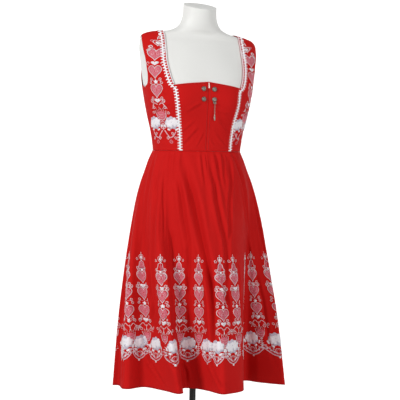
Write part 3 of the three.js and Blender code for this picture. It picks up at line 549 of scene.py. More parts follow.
def new_piece(name, points, faces, material, uv=None, values=None):
    """A smooth mesh at the origin from points in mm and faces as rows of indices, with a UV point
    and a value of relief for each vertex where they are given."""
    mesh = bpy.data.meshes.new(name)
    mesh.from_pydata((np.asarray(points).reshape(-1, 3) * MM).tolist(), [], faces)
    mesh.validate()
    if uv is not None:
        corner = np.zeros(len(mesh.loops), np.int32)
        mesh.loops.foreach_get("vertex_index", corner)
        layer = mesh.uv_layers.new(name="UVMap")
        layer.data.foreach_set("uv", np.asarray(uv, float).reshape(-1, 2)[corner].ravel())
    if values is not None:
        attribute = mesh.attributes.new("relief", "FLOAT", "POINT")
        attribute.data.foreach_set("value", np.asarray(values, np.float32).ravel())
    mesh.polygons.foreach_set("use_smooth", np.ones(len(mesh.polygons), bool))
    mesh.materials.append(material)
    mesh.update()
    made = bpy.data.objects.new(name, mesh)
    bpy.context.scene.collection.objects.link(made)
    return made


def grid_faces(rows, columns, offset=0, closed=False):
    """Four-cornered faces of a grid of points, as an array of indices."""
    r, c = np.mgrid[0 : rows - 1, 0 : columns if closed else columns - 1]
    a, b = r * columns + c, r * columns + (c + 1) % columns
    return np.stack([a, b, b + columns, a + columns], -1).reshape(-1, 4) + offset


def rim(rows, columns):
    """Indices round the edge of a grid."""
    bottom = np.arange(columns)
    right = np.arange(1, rows) * columns + columns - 1
    top = (rows - 1) * columns + np.arange(columns - 2, -1, -1)
    left = np.arange(rows - 2, 0, -1) * columns
    return np.concatenate([bottom, right, top, left])


def turned_out(faces, front, outer, inner):
    """Faces turned round where those of the outer grid, front, look inwards."""
    a, b, c, d = (outer.reshape(-1, 3)[front[:, k]] for k in range(4))
    out_way = (outer - inner).reshape(-1, 3)[front[:, 0]]
    inward = (np.cross(c - a, d - b) * out_way).sum() < 0
    return faces[:, ::-1] if inward else faces


def shell(name, outer, inner, material, uv):
    """A closed thin wall between two grids, facing outwards: both faces and the rim round them."""
    rows, columns = outer.shape[:2]
    count = rows * columns
    edge = rim(rows, columns)
    after = np.roll(edge, -1)
    front = grid_faces(rows, columns)
    back = grid_faces(rows, columns, count)[:, ::-1]
    wall = np.stack([after, edge, edge + count, after + count], -1)
    faces = np.vstack([front, back, wall])
    faces = turned_out(faces, front, outer, inner)
    points = np.concatenate([outer.reshape(-1, 3), inner.reshape(-1, 3)])
    return new_piece(name, points, faces.tolist(), material, np.concatenate([uv.reshape(-1, 2)] * 2))


class Socket:
    """A shader output or number; sums, products and the like of them add Math nodes."""

    def __init__(self, tree, link):
        self.tree = tree
        self.link = link

    def math(self, operation, *others, clamp=False):
        """A Math node on this and others."""
        settings = {"operation": operation, "use_clamp": clamp}
        made = self.tree.node("ShaderNodeMath", settings, [self.link, *others])
        return Socket(self.tree, made.outputs[0])

    def clamped(self):
        """Kept between 0 and 1."""
        return self.math("ADD", 0, clamp=True)

    def __add__(self, other):
        return self.math("ADD", other)

    __radd__ = __add__

    def __mul__(self, other):
        return self.math("MULTIPLY", other)

    __rmul__ = __mul__

    def __sub__(self, other):
        return self.math("SUBTRACT", other)

    def __rsub__(self, other):
        return (self * -1) + other

    def above(self, edge, soft):
        """0 below edge, 1 above it, over a soft step."""
        return ((self - edge) * (1 / soft) + 0.5).clamped()


class Finish:
    """A material's nodes."""

    def __init__(self, name, **constants):
        self.material = bpy.data.materials.new(name)
        self.material.use_nodes = True
        self.nodes = self.material.node_tree.nodes
        self.links = self.material.node_tree.links
        self.surface = self.nodes["Principled BSDF"]
        for socket, value in constants.items():
            self.surface.inputs[socket.replace("_", " ")].default_value = value

    def node(self, kind, settings, inputs):
        """A node of a kind; settings first, then the values or links of its sockets."""
        made = self.nodes.new(kind)
        for key, value in settings.items():
            setattr(made, key, value)
        pairs = inputs.items() if isinstance(inputs, dict) else enumerate(inputs)
        for socket, value in pairs:
            link = value.link if isinstance(value, Socket) else value
            if isinstance(link, bpy.types.NodeSocket):
                self.links.new(link, made.inputs[socket])
            else:
                made.inputs[socket].default_value = link
        return made

    def coordinate(self, which):
        """Texture coordinates of a kind, as a vector."""
        return self.nodes.new("ShaderNodeTexCoord").outputs[which]

    def axis(self, which, number):
        """One number of a coordinate."""
        parts = self.node("ShaderNodeSeparateXYZ", {}, [self.coordinate(which)])
        return Socket(self, parts.outputs[number])

    def noise(self, which, scale, detail):
        """Soft noise from 0 to 1."""
        sockets = {"Vector": self.coordinate(which), "Scale": scale, "Detail": detail}
        made = self.node("ShaderNodeTexNoise", {}, sockets)
        return Socket(self, made.outputs[0])

    def value(self, attribute):
        """A number carried by the mesh."""
        made = self.node("ShaderNodeAttribute", {"attribute_name": attribute}, {})
        return Socket(self, made.outputs["Fac"])

    def blend(self, share, first, second):
        """A colour between two, by share."""
        made = self.node("ShaderNodeMix", {"data_type": "RGBA"}, {0: share, 6: first, 7: second})
        return Socket(self, made.outputs[2])

    def wave(self, number, per_unit):
        """A sine wave of a coordinate, from -1 to 1."""
        return (number * (2 * np.pi * per_unit)).math("SINE")

    def feed(self, socket, value):
        """Links a value to the surface."""
        self.links.new(value.link, self.surface.inputs[socket])

    def bump(self, height, distance, strength):
        """Feeds the surface's Normal from a height."""
        sockets = {"Strength": strength, "Distance": distance, "Height": height}
        made = self.node("ShaderNodeBump", {}, sockets)
        self.links.new(made.outputs[0], self.surface.inputs["Normal"])


def tint(red, green, blue):
    """A colour from its screen values, 0 to 255, made linear."""
    c = np.array([red, green, blue]) / 255
    linear = np.where(c <= 0.04045, c / 12.92, ((c + 0.055) / 1.055) ** 2.4)
    return (*linear.tolist(), 1.0)


def woven_red(name):
    """Plain-woven cotton blend: threads along U and V in mm, as bump, and a faint cloudy change of
    colour."""
    made = Finish(name, Roughness=0.82, Specular_IOR_Level=0.14)
    threads_per_mm = 2.2
    threads = made.wave(made.axis("UV", 0), threads_per_mm) * made.wave(made.axis("UV", 1), threads_per_mm)
    cloudy = made.noise("Object", 9.0, 3.0)
    made.feed("Base Color", made.blend(cloudy.clamped(), tint(184, 14, 14), tint(198, 21, 18)))
    made.bump(threads, 0.0001, 0.35)
    return made.material


def thread_finish(name, colour):
    """Embroidery thread: stitches across the line, read from U along it."""
    made = Finish(name, Roughness=0.6, Specular_IOR_Level=0.35, Sheen_Weight=0.1)
    stitches_per_mm = 1.6
    stitch = made.wave(made.axis("UV", 0), stitches_per_mm)
    made.feed("Base Color", made.blend(stitch * 0.5 + 0.5, tint(*(0.9 * np.array(colour))), tint(*colour)))
    made.bump(stitch, 0.0002, 0.4)
    return made.material


def net_finish(name):
    """Hearts: white and pink thread netted over the red, in a fine trellis."""
    made = Finish(name, Roughness=0.7, Specular_IOR_Level=0.25)
    u, v = made.axis("UV", 0), made.axis("UV", 1)
    crossings_per_mm = 0.42
    one = made.wave(u + v, crossings_per_mm).math("ABSOLUTE")
    two = made.wave(u - v, crossings_per_mm).math("ABSOLUTE")
    gaps = (one * two).above(0.42, 0.5)
    made.feed("Base Color", made.blend(gaps, tint(214, 122, 136), tint(184, 58, 72)))
    return made.material


def silver_finish(name):
    """Antique silver: bright where the relief is high and dark where it is low."""
    made = Finish(name, Roughness=0.38, Metallic=1.0)
    relief = made.value("relief")
    made.feed("Base Color", made.blend(relief.clamped(), tint(58, 50, 44), tint(190, 182, 172)))
    made.feed("Roughness", 0.62 - relief * 0.3)
    return made.material


def plain_finish(name, colour, **constants):
    """A finish of one colour."""
    return Finish(name, Base_Color=tint(*colour), **constants).material


RED_CLOTH = woven_red("woven_red")
RED_SKIRT = woven_red("woven_red_skirt")
THREAD_WHITE = thread_finish("thread_white", (248, 243, 248))
THREAD_LILAC = thread_finish("thread_lilac", (206, 196, 212))
THREAD_PINK = thread_finish("thread_pink", (226, 160, 176))
NET = net_finish("heart_net")
THREAD_COLOURS = {"white": THREAD_WHITE, "lilac": THREAD_LILAC, "pink": THREAD_PINK, "net": NET}
STITCH_RED = thread_finish("stitch_red", (150, 10, 12))
SILVER = silver_finish("antique_silver")
LACE_FINISH = plain_finish("lace_cotton", (253, 251, 254), Roughness=0.85, Specular_IOR_Level=0.2)
FORM_WHITE = plain_finish("form_white", (226, 226, 223), Roughness=0.5, Specular_IOR_Level=0.35)
SILVER_PLAIN = plain_finish("hanger_silver", (128, 120, 110), Roughness=0.4, Metallic=1.0)
PULL = plain_finish("zip_pull", (214, 176, 170), Roughness=0.4, Metallic=0.6)
BLACK = plain_finish("stand_black", (22, 22, 24), Roughness=0.42)


def panel(name, first, second, top, columns, rows, mirror):
    """A bodice panel: the form's surface between two body lines, moved out to the cloth's faces,
    with its side edges turned in over the seams."""
    stations = np.linspace(0, top, rows)
    shares = np.linspace(0, 1, columns)
    grid = between(first(stations), second(stations), shares)
    if mirror:
        grid = (grid * MIRRORED)[:, ::-1]
    outer, inner = cloth_faces(grid, bodice_relief(grid) + edge_roll(grid))
    uv = np.stack([grid[..., 0] + grid[..., 1], grid[..., 2]], -1)
    made = shell(name, outer, inner, RED_CLOTH, uv)
    return made


def edge_roll(grid):
    """How far the cloth turns in near its side edges, where it is folded into the seam."""
    wide = np.linalg.norm(np.diff(grid, axis=1), axis=-1)
    from_left = np.concatenate([np.zeros((len(grid), 1)), np.cumsum(wide, 1)], 1)
    aside = np.minimum(from_left, from_left[:, -1:] - from_left)
    return -EDGE_TURN * np.exp(-((aside / EDGE_WIDTH) ** 2))


def cloth_faces(grid, crease):
    """The outer and the inner face of bodice cloth over landed points, moved out by its creases."""
    normal = normal_at(grid)
    lift = clearance(grid[..., 2]) + WALL + crease
    return lean(grid + normal * lift[..., None]), lean(grid + normal * (lift - SHELL)[..., None])


def make_bodice():
    """The five panels of the bodice."""
    pieces = {}
    for side, name in SIDES:
        front = panel(f"bodice_front_{name}_cloth", centre_front, princess, NECK_STATION, 44, 110, side < 0)
        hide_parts(f"bodice_front_{name}")
        aside = panel(f"bodice_side_front_{name}_cloth", princess, side_front, STATIONS, 48, 190, side < 0)
        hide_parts(f"bodice_side_front_{name}")
        pieces[f"front_{name}"] = front
        pieces[f"side_front_{name}"] = aside
    pieces["back"] = make_back()
    return pieces


def make_back():
    """The back in one piece: between the side seams up to the neckline, and a strap on each side."""
    low = np.linspace(0, BACK_NECK_STATION, 130)
    high = np.linspace(BACK_NECK_STATION, STATIONS, 60)[1:]
    all_stations = np.concatenate([low, high])
    strap_shares = np.linspace(0, 1, 40)
    middle_shares = np.linspace(0, 1, 30)[1:]
    edge_columns = 1.5
    strap = between(side_back(all_stations), back_line(all_stations), strap_shares)
    middle = between(back_line(low), centre_back(low), middle_shares)
    filler = np.repeat(strap[len(low) :, -1:], len(middle_shares), 1)
    half = np.concatenate([strap, np.concatenate([middle, filler], 0)], 1)
    other = (half * MIRRORED)[:, ::-1]
    grid = np.concatenate([half, other[:, 1:]], 1)
    rows, columns = grid.shape[:2]
    turned_in = EDGE_TURN * np.exp(-((np.arange(columns) / edge_columns) ** 2))
    outer, inner = cloth_faces(grid, back_relief(grid) - turned_in)
    keep = np.zeros((rows - 1, columns - 1), bool)
    keep[: len(low) - 1] = True
    keep[:, : len(strap_shares) - 1] = True
    keep[:, columns - len(strap_shares) :] = True
    return masked_shell("bodice_back_cloth", outer, inner, keep)


def masked_shell(name, outer, inner, keep):
    """A closed thin wall over those cells of a grid that are kept."""
    rows, columns = outer.shape[:2]
    count = rows * columns
    kept = keep.ravel()
    front = grid_faces(rows, columns)[kept]
    back = (front + count)[:, ::-1]
    edges = np.concatenate([front[:, (k, (k + 1) % 4)] for k in range(4)])
    edge_number = edges.min(1) * count + edges.max(1)
    _, where, times = np.unique(edge_number, return_index=True, return_counts=True)
    border = edges[where[times == 1]]
    wall = np.stack([border[:, 1], border[:, 0], border[:, 0] + count, border[:, 1] + count], -1)
    faces = np.vstack([front, back, wall])
    used, faces = np.unique(faces, return_inverse=True)
    faces = faces.reshape(-1, 4)
    points = np.concatenate([outer.reshape(-1, 3), inner.reshape(-1, 3)])[used]
    grid_uv = np.stack([outer[..., 0], outer[..., 2]], -1).reshape(-1, 2)
    uv = np.concatenate([grid_uv, grid_uv])[used]
    faces = turned_out(faces, front, outer, inner)
    made = new_piece(name, points, faces.tolist(), RED_CLOTH, uv)
    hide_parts("bodice_back")
    return made


def make_skirt():
    """The front and back halves of the skirt, from side seam to side seam."""
    pieces = {}
    downs = np.concatenate([np.linspace(0, 0.3, 48), np.linspace(0.3, 1, 78)[1:]])
    for name, start in (("skirt_front", SKIRT_SEAM), ("skirt_back", SKIRT_SEAM + 0.5)):
        shares = np.linspace(start, start + 0.5, 360)
        s, d = np.meshgrid(shares, downs)
        outer = skirt_surface(s, d, SKIRT_LIFT)
        inner = skirt_surface(s, d, SKIRT_LIFT - SHELL)
        uv = np.stack([s * ring_length(1.0), d * SKIRT_DROP], -1)
        made = shell(f"{name}_cloth", outer, inner, RED_SKIRT, uv)
        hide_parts(name)
        pieces[name] = made
    return pieces


class Threads:
    """Strokes and patches of thread, drawn in a flat pattern in mm and laid on a surface by lay.
    They are gathered, and finish makes one piece of each colour."""

    def __init__(self, lay):
        self.lay = lay
        self.parts = {}

    def add(self, colour, points, faces, uv):
        """Puts points and faces with those of their colour."""
        store = self.parts.setdefault(colour, {"points": [], "faces": [], "uv": [], "count": 0})
        store["points"].append(points)
        store["faces"].append(faces + store["count"])
        store["uv"].append(uv)
        store["count"] += len(points)

    def ribbon(self, colour, path, width, lift=0.15, thick=0.55, closed=False):
        """A roof-shaped satin line along a flat path: two feet, a ridge and a flat underside."""
        path = np.asarray(path, float)
        along = unit(np.roll(path, -1, 0) - np.roll(path, 1, 0) if closed else np.gradient(path, axis=0))
        across = np.stack([-along[:, 1], along[:, 0]], -1) * width / 2
        n = len(path)
        flat = np.concatenate([path - across, path, path + across])
        height = np.concatenate([np.full(n, lift), np.full(n, lift + thick), np.full(n, lift)])
        points = self.lay(flat, height)
        i = np.arange(n if closed else n - 1)
        j = (i + 1) % n
        left = np.stack([i, j, j + n, i + n], -1)
        right = np.stack([i + n, j + n, j + 2 * n, i + 2 * n], -1)
        under = np.stack([i + 2 * n, j + 2 * n, j, i], -1)
        faces = np.vstack([left, right, under])
        if not closed:
            last = n - 1
            ends = np.array([[0, n, 2 * n, 2 * n], [last + 2 * n, last + n, last, last]])
            faces = np.vstack([faces, ends])
        run = np.concatenate([[0], np.cumsum(np.linalg.norm(np.diff(path, axis=0), axis=1))])
        uv = np.stack([np.tile(run, 3), height * 4], -1)
        self.add(colour, points, faces[:, ::-1], uv)

    def patch(self, colour, outline, lift, thick, rings):
        """A filled shape: its outline drawn in towards its centre, domed, with a rim down to the cloth."""
        outline = np.asarray(outline, float)
        centre = outline.mean(0)
        n = len(outline)
        shares = np.linspace(1, 0.12, rings)
        flat = np.concatenate([centre + (outline - centre) * s for s in shares])
        height = np.concatenate([np.full(n, lift + thick * (1 - s**4)) for s in shares])
        flat = np.concatenate([flat, centre[None], outline])
        height = np.concatenate([height, [lift + thick], np.full(n, lift - 0.1)])
        points = self.lay(flat, height)
        i = np.arange(n)
        j = (i + 1) % n
        top = (rings - 1) * n
        middle = rings * n
        under = middle + 1
        cap = np.stack([i + top, j + top, np.full(n, middle), np.full(n, middle)], -1)
        rim_down = np.stack([j, i, i + under, j + under], -1)
        faces = np.vstack([grid_faces(rings, n, closed=True), cap, rim_down])
        area = np.cross(np.roll(outline, -1, 0) - outline, centre - outline).sum()
        if area < 0:
            faces = faces[:, ::-1]
        self.add(colour, points, faces, flat)

    def finish(self, prefix, materials, slot_name):
        """The pieces, one of each colour."""
        made = []
        for colour, store in self.parts.items():
            faces = np.vstack(store["faces"])
            rows = [row[:3] if row[2] == row[3] else row for row in faces.tolist()]
            piece = new_piece(
                f"{prefix}_{colour}", np.concatenate(store["points"]), rows, materials[colour],
                np.concatenate(store["uv"]),
            )
            made.append(piece)
        return made


def arc(centre, radius, start, end, steps):
    """Points of a circle's arc, in degrees from +x towards +y."""
    t = np.radians(np.linspace(start, end, steps))
    return np.stack([centre[0] + radius * np.cos(t), centre[1] + radius * np.sin(t)], -1)


def curl(centre, radius, start, turns, side, steps):
    """A spiral that tightens to three tenths of its radius."""
    s = np.linspace(0, 1, steps)
    t = np.radians(start) + side * 2 * np.pi * turns * s
    out = radius * (1 - 0.7 * s)
    return np.stack([centre[0] + out * np.cos(t), centre[1] + out * np.sin(t)], -1)


def heart(centre, wide, high, steps):
    """A heart with its point down: x = sin^3 t, y from four cosines."""
    t = np.linspace(0, 2 * np.pi, steps, endpoint=False)
    x = np.sin(t) ** 3
    y = (13 * np.cos(t) - 5 * np.cos(2 * t) - 2 * np.cos(3 * t) - np.cos(4 * t)) / 15
    y = (y - y.min()) / (y.max() - y.min()) - 0.5
    return np.stack([centre[0] + x * wide / 2, centre[1] + y * high], -1)


def petals(centre, radius, count, depth, turn, steps, squash=1.0):
    """A round flower's outline: the radius falls by depth between petals."""
    t = np.linspace(0, 2 * np.pi, steps, endpoint=False)
    out = radius * (1 - depth * np.abs(np.sin(count * (t - np.radians(turn)) / 2)) ** 3)
    return np.stack([centre[0] + out * np.cos(t), centre[1] + squash * out * np.sin(t)], -1)


def netted_heart(threads, centre, wide, high):
    """A heart filled with net and outlined twice."""
    threads.patch("net", heart(centre, wide * 0.94, high * 0.94, 20), 0.3, 0.3, 5)
    threads.ribbon("white", heart(centre, wide, high, 30), 1.7, closed=True)
    threads.ribbon("pink", heart(centre, wide * 0.66, high * 0.62, 22), 1.0, closed=True)
    for side in (-1, 1):
        spot = (centre[0] + side * wide * 0.17, centre[1] + high * 0.08)
        threads.ribbon("white", curl(spot, wide * 0.13, 90, 1, side, 12), 1.2)


def solid_heart(threads, centre, wide, high):
    """A small heart in satin stitch, with a curl on either side."""
    threads.patch("white", heart(centre, wide, high, 16), 0.15, 0.7, 2)
    for side in (-1, 1):
        spot = (centre[0] + side * wide * 0.85, centre[1] + 1)
        threads.ribbon("white", curl(spot, wide * 0.3, 270, 0.9, side, 12), 1.4)


def bud(threads, centre, wide, high):
    """The bud at the top of a column: a filled heart in an outlined one."""
    threads.patch("white", heart(centre, wide * 0.55, high * 0.6, 14), 0.15, 0.6, 2)
    threads.ribbon("white", heart(centre, wide, high, 18), 1.5, closed=True)


def flower(threads, centre, wide, high):
    """A border flower: two full blossoms side by side, lilac petals behind and white ones over
    them, with an eye each, and small leaves round them."""
    squash = high / wide
    threads.patch("lilac", petals(centre, wide * 0.52, 9, 0.16, 10, 54, squash), 0.3, 0.4, 5)
    for side, turn in ((-1, 0), (1, 26)):
        spot = (centre[0] + side * wide * 0.2, centre[1] + side * high * 0.06)
        threads.patch("white", petals(spot, wide * 0.33, 6, 0.3, turn, 36, squash * 1.1), 0.7, 0.7, 4)
        threads.ribbon("lilac", arc(spot, wide * 0.1, 0, 340, 10), 1.2, 1.05, 0.3)
        for step in range(6):
            t = np.radians(60 * step + turn + 30)
            way = np.array([np.cos(t), np.sin(t) * squash])
            vein = np.array(spot) + wide * np.outer([0.14, 0.2, 0.26], way)
            threads.ribbon("lilac", vein, 0.9, 0.95, 0.3)
    for turn in (-62, -24, 204, 242):
        t = np.radians(turn)
        tip = (centre[0] + wide * 0.6 * np.cos(t), centre[1] + high * 0.6 * np.sin(t))
        leaf = petals(tip, wide * 0.12, 2, 0.5, 90 + turn, 12)
        threads.patch("white", leaf, 0.12, 0.5, 2)


def column_pattern(threads):
    """One column, from its spire down to its crown and fishbone stem: x aside, y above the hem."""
    ribbon, patch = threads.ribbon, threads.patch
    ribbon("white", [(0, 416.56), (0, 411.6), (0, 405.4)], 1.6)
    bud(threads, (0, 399.2), 14, 19)
    for side in (-1, 1):
        ribbon("white", curl((side * 13, 396.1), 4.5, 90, 1.0, -side, 12), 1.4)
        ribbon("white", curl((side * 13.5, 369.75), 4.5, 270, 1.0, side, 12), 1.4)
        ribbon("pink", curl((side * 9, 352.7), 4, 90, 0.8, side, 10), 1.2)
    bell = np.array([(0, 13), (6, 9), (8, 0), (12, -9), (0, -12), (-12, -9), (-8, 0), (-6, 9)], float)
    patch("net", bell + (0, 377.5), 0.1, 0.25, 2)
    ribbon("white", smooth_loop(bell + (0, 377.5)), 1.5, closed=True)
    patch("white", petals((0, 362), 5, 4, 0.4, 45, 16), 0.15, 0.6, 2)
    netted_heart(threads, (0, 340.3), 37, 37)
    for height, reach in ((358.9, 12), (315.5, 15), (267.45, 16), (214.75, 15)):
        junction(threads, height, reach)
    solid_heart(threads, (0, 312.4), 21, 13)
    netted_heart(threads, (0, 289.15), 39, 40)
    patch("white", petals((0, 259.7), 7, 5, 0.45, 90, 20), 0.15, 0.6, 2)
    netted_heart(threads, (0, 234.9), 41, 38)
    solid_heart(threads, (0, 208.24), 22, 14)
    for side in (-1, 1):
        scroll = [(side * 3, 191.5), (side * 12, 199.25), (side * 22, 191.5), (side * 31, 176)]
        ribbon("white", smooth_path(scroll), 1.6)
        ribbon("white", curl((side * 18, 182.2), 6, 90, 1.2, -side, 16), 1.5)
        ribbon("white", curl((side * 33, 188.4), 5, 200, 1.1, side, 14), 1.4)
    ribbon("white", [(0, 194.6), (0, 186.85), (0, 179.1)], 1.8)
    crown_pattern(threads, 163.6)
    stem(threads, 145, 107.8)


def smooth_path(points, steps=7):
    """A path rounded by putting points between its corners, on a cubic curve through them."""
    p = np.asarray(points, float)
    run = np.concatenate([[0], np.cumsum(np.linalg.norm(np.diff(p, axis=0), axis=1))])
    t = np.linspace(0, run[-1], steps * (len(p) - 1) + 1)
    return np.stack([curve_through(run, p[:, k])(t) for k in (0, 1)], -1)


def smooth_loop(points):
    """A closed path rounded the same way."""
    p = np.asarray(points, float)
    path = smooth_path(np.vstack([p, p[:1]]), 4)
    return path[:-1]


def border_pattern(threads, reach):
    """The border under one flower, reach mm to either side: a scalloped garland, an open loop, and
    a drop at the tip."""
    ribbon, patch = threads.ribbon, threads.patch
    for side in (-1, 1):
        swag = [(side * 4, 97), (side * reach * 0.35, 101), (side * reach * 0.7, 112), (side * reach, 122)]
        ribbon("pink", smooth_path(swag), 3.0, 0.12, 0.5)
        ribbon("white", smooth_path(np.array(swag) + (0, 2)), 1.3, 0.4, 0.6)
        lower = [(side * 3, 90), (side * reach * 0.4, 94), (side * reach * 0.75, 104), (side * reach, 113)]
        ribbon("pink", smooth_path(lower), 2.8, 0.12, 0.5)
        ribbon("white", smooth_path(np.array(lower) - (0, 2)), 1.3, 0.4, 0.6)
        for share in (0.3, 0.55, 0.8):
            spot = (side * reach * share, 98 + 20 * share**1.6)
            patch("white", petals(spot, 3.2, 4, 0.3, 0, 10), 0.15, 0.5, 2)
            ribbon("white", curl((spot[0], spot[1] + 9), 3.6, 270, 0.9, side, 9), 1.2)
    ribbon("white", petals((0, 104), 9, 2, 0.3, 0, 20, 1.25), 1.6, closed=True)
    ribbon("pink", petals((0, 104), 5, 2, 0.3, 0, 14, 1.25), 1.1, closed=True)
    patch("white", petals((0, 86), 3.6, 2, 0.35, 0, 12, 1.5), 0.15, 0.6, 2)


def skirt_columns():
    """Shares of all columns: those of the front, then evenly round the back."""
    first, last = FRONT_COLUMNS[0], FRONT_COLUMNS[-1]
    steps = np.arange(1, BACK_COLUMNS) / BACK_COLUMNS
    back = [(mix(last[0], first[0] + 1, s), mix(last[1], first[1] + 1, s)) for s in steps]
    return FRONT_COLUMNS + back


def skirt_flowers():
    """Shares of all the border's flowers."""
    columns = skirt_columns()
    behind = [row[0] for row in columns[len(FRONT_COLUMNS) - 1 :]] + [FRONT_COLUMNS[0][0] + 1]
    middles = [(a + b) / 2 for a, b in zip(behind[:-1], behind[1:])]
    return FRONT_FLOWERS + middles


def lay_on_skirt(low_share, high_share):
    """Lays a flat pattern down a column: x along the cloth, y above the hem."""
    def lay(flat, height):
        down = np.clip(1 - flat[:, 1] / SKIRT_DROP, 0, 1)
        climb = np.clip((flat[:, 1] - BORDER_HEIGHT) / (SPIRE_HEIGHT - BORDER_HEIGHT), -0.3, 1)
        share = mix(low_share, high_share, climb) + flat[:, 0] / ring_length(down)
        return skirt_surface(share, down, SKIRT_LIFT + height)

    return lay


def make_skirt_embroidery():
    """All columns, flowers and the border, in one piece for each colour, front and back."""
    made = {}
    halves = {"skirt_front": Threads(None), "skirt_back": Threads(None)}

    def half_of(share):
        place = (share - SKIRT_SEAM) % 1
        return halves["skirt_front" if place < 0.5 else "skirt_back"]

    for low, high in skirt_columns():
        threads = half_of(low)
        threads.lay = lay_on_skirt(low, high)
        column_pattern(threads)
    flowers = skirt_flowers()
    for i, share in enumerate(flowers):
        threads = half_of(share)
        threads.lay = lay_on_skirt(share, share)
        after = flowers[(i + 1) % len(flowers)] + (1 if i == len(flowers) - 1 else 0)
        before = flowers[i - 1] - (1 if i == 0 else 0)
        reach = min(after - share, share - before) * ring_length(0.85) / 2
        flower(threads, (0, FLOWER_HEIGHT), *FLOWER_SIZE)
        border_pattern(threads, min(GARLAND_MOST, max(GARLAND_LEAST, reach)))
    for name, threads in halves.items():
        made[name] = threads.finish(f"{name}_embroidery", THREAD_COLOURS, "lace")
    return made


def lay_on_bodice(side, way):
    """Lays a flat pattern on a side-front panel: way gives the column's turn at each height."""
    def lay(flat, height):
        z = flat[:, 1]
        turn = np.radians(side * way(z))
        turn = turn + flat[:, 0] / form_radius(turn, z)
        out = form_radius(turn, z)
        p = np.stack([out * np.sin(turn), section[3](z) - out * np.cos(turn), z], -1)
        return raised(p, height)

    return lay


def make_stage():
    """A plain pale floor that turns up far behind, paler towards the back, along FLOOR_PROFILE."""
    path = smooth_path(FLOOR_PROFILE, 6)
    turn = np.radians(CAMERA_TURN)
    right = np.array([np.cos(turn), -np.sin(turn), 0.0])
    ahead = np.array([np.sin(turn), np.cos(turn), 0.0])
    across = np.array([-FLOOR_HALF_WIDTH, FLOOR_HALF_WIDTH])[None, :, None] * right
    grid = across + path[:, None, :1] * ahead + path[:, None, 1:] * np.array([0.0, 0.0, 1.0])
    made = Finish("studio_floor", Roughness=0.9, Specular_IOR_Level=0.05, Emission_Strength=0.6)
    ahead_of = made.axis("Object", 0) * float(ahead[0]) + made.axis("Object", 1) * float(ahead[1])
    behind = ((ahead_of - 0.5) * 1.1).clamped()
    made.feed("Emission Color", made.blend(behind, (0, 0, 0, 1), (1, 1, 1, 1)))
    made.feed("Base Color", made.blend(behind, tint(196, 196, 195), tint(243, 243, 242)))
    floor = new_piece("studio_floor", grid, grid_faces(len(path), 2).tolist(), made.material)


def add_light(name, place, power, size):
    """A soft square light that looks at LIGHT_AIM."""
    data = bpy.data.lights.new(name, "AREA")
    data.energy = power
    data.size = size
    light = bpy.data.objects.new(name, data)
    light.location = Vector(place)
    light.rotation_euler = (Vector(LIGHT_AIM) - Vector(place)).to_track_quat("-Z", "Y").to_euler()
    bpy.context.scene.collection.objects.link(light)


def make_camera():
    """The camera at the photograph's angle: height of the waist, a little down, slightly rolled."""
    turn, roll = np.radians(CAMERA_TURN), np.radians(CAMERA_ROLL)
    right = Vector((np.cos(turn), -np.sin(turn), 0))
    back = Vector((-np.sin(turn), -np.cos(turn), 0))
    place = back * CAMERA_AWAY * MM + Vector((0, 0, WAIST * MM))
    aim = right * AIM_ASIDE * MM + Vector((0, 0, AIM_HEIGHT * MM))
    forward = (aim - place).normalized()
    level = forward.cross(Vector((0, 0, 1))).normalized()
    above = level.cross(forward)
    x_axis = level * np.cos(roll) + above * np.sin(roll)
    y_axis = above * np.cos(roll) - level * np.sin(roll)
    camera = bpy.data.objects.new("camera", bpy.data.cameras.new("camera"))
    camera.data.lens = CAMERA_LENS
    camera.data.sensor_width = CAMERA_SENSOR
    camera.data.clip_end = 100
    turned = Matrix((x_axis, y_axis, -forward)).transposed().to_4x4()
    camera.matrix_world = Matrix.Translation(place) @ turned
    bpy.context.scene.collection.objects.link(camera)
    bpy.context.scene.camera = camera


def make_form():
    """The smooth limbless form with its tilted neck top, closed at both ends."""
    columns = 144
    shoulder = 1360
    z = np.concatenate([np.linspace(FORM_BOTTOM, shoulder, 110), np.linspace(shoulder, NECK_TOP, 81)[1:]])
    turn = np.linspace(0, 2 * np.pi, columns, endpoint=False)
    t, h = np.meshgrid(turn, z)
    out = form_radius(t, h)
    x, y = out * np.sin(t), -out * np.cos(t)
    p = lean(np.stack([x, y + section[3](h), h], -1))
    p[..., 2] += TILT_SLOPE * smooth(TILT_FROM, NECK_TOP, h) * y
    ends = []
    for row, rise in ((p[0], -1.2), (p[-1], 1.2)):
        domed = [(s, np.array([0, 0, rise * np.sin(s * np.pi / 2)])) for s in (0.02, 0.08, 0.5, 0.97)]
        ends.append([mix(row, row.mean(0), s) + higher for s, higher in domed])
    grid = np.stack([*ends[0][::-1], *p, *ends[1]])
    faces = grid_faces(len(grid), columns, closed=True).tolist()
    faces.append(list(range(columns))[::-1])
    faces.append([(len(grid) - 1) * columns + k for k in range(columns)])
    made = new_piece("form_body", grid, faces, FORM_WHITE)
    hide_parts("form_torso")
    return made


def seam_frame(line, low, high, side):
    """Samples of a body line: length along it, points, the way outward across it, all landed."""
    stations = np.linspace(low, high, 321)
    p = line(stations)
    ahead = line(np.minimum(high, stations + 0.03)) - line(np.maximum(low, stations - 0.03))
    across = unit(np.cross(unit(ahead), normal_at(p)))
    run = np.concatenate([[0], np.cumsum(np.linalg.norm(np.diff(p, axis=0), axis=1))])
    return {"stations": stations, "run": run, "points": p, "across": across, "side": side}


def lay_on_line(frame_of, base):
    """Lays a flat pattern beside a body line: x outward from it, y along it from the waist."""
    def lay(flat, height):
        y = np.clip(flat[:, 1], 0, frame_of["run"][-1])
        p = np.stack([np.interp(y, frame_of["run"], frame_of["points"][:, k]) for k in range(3)], -1)
        across = np.stack([np.interp(y, frame_of["run"], frame_of["across"][:, k]) for k in range(3)], -1)
        q = land(p + across * flat[:, :1])
        q[:, 0] *= frame_of["side"]
        return raised(q, base + height)

    return lay


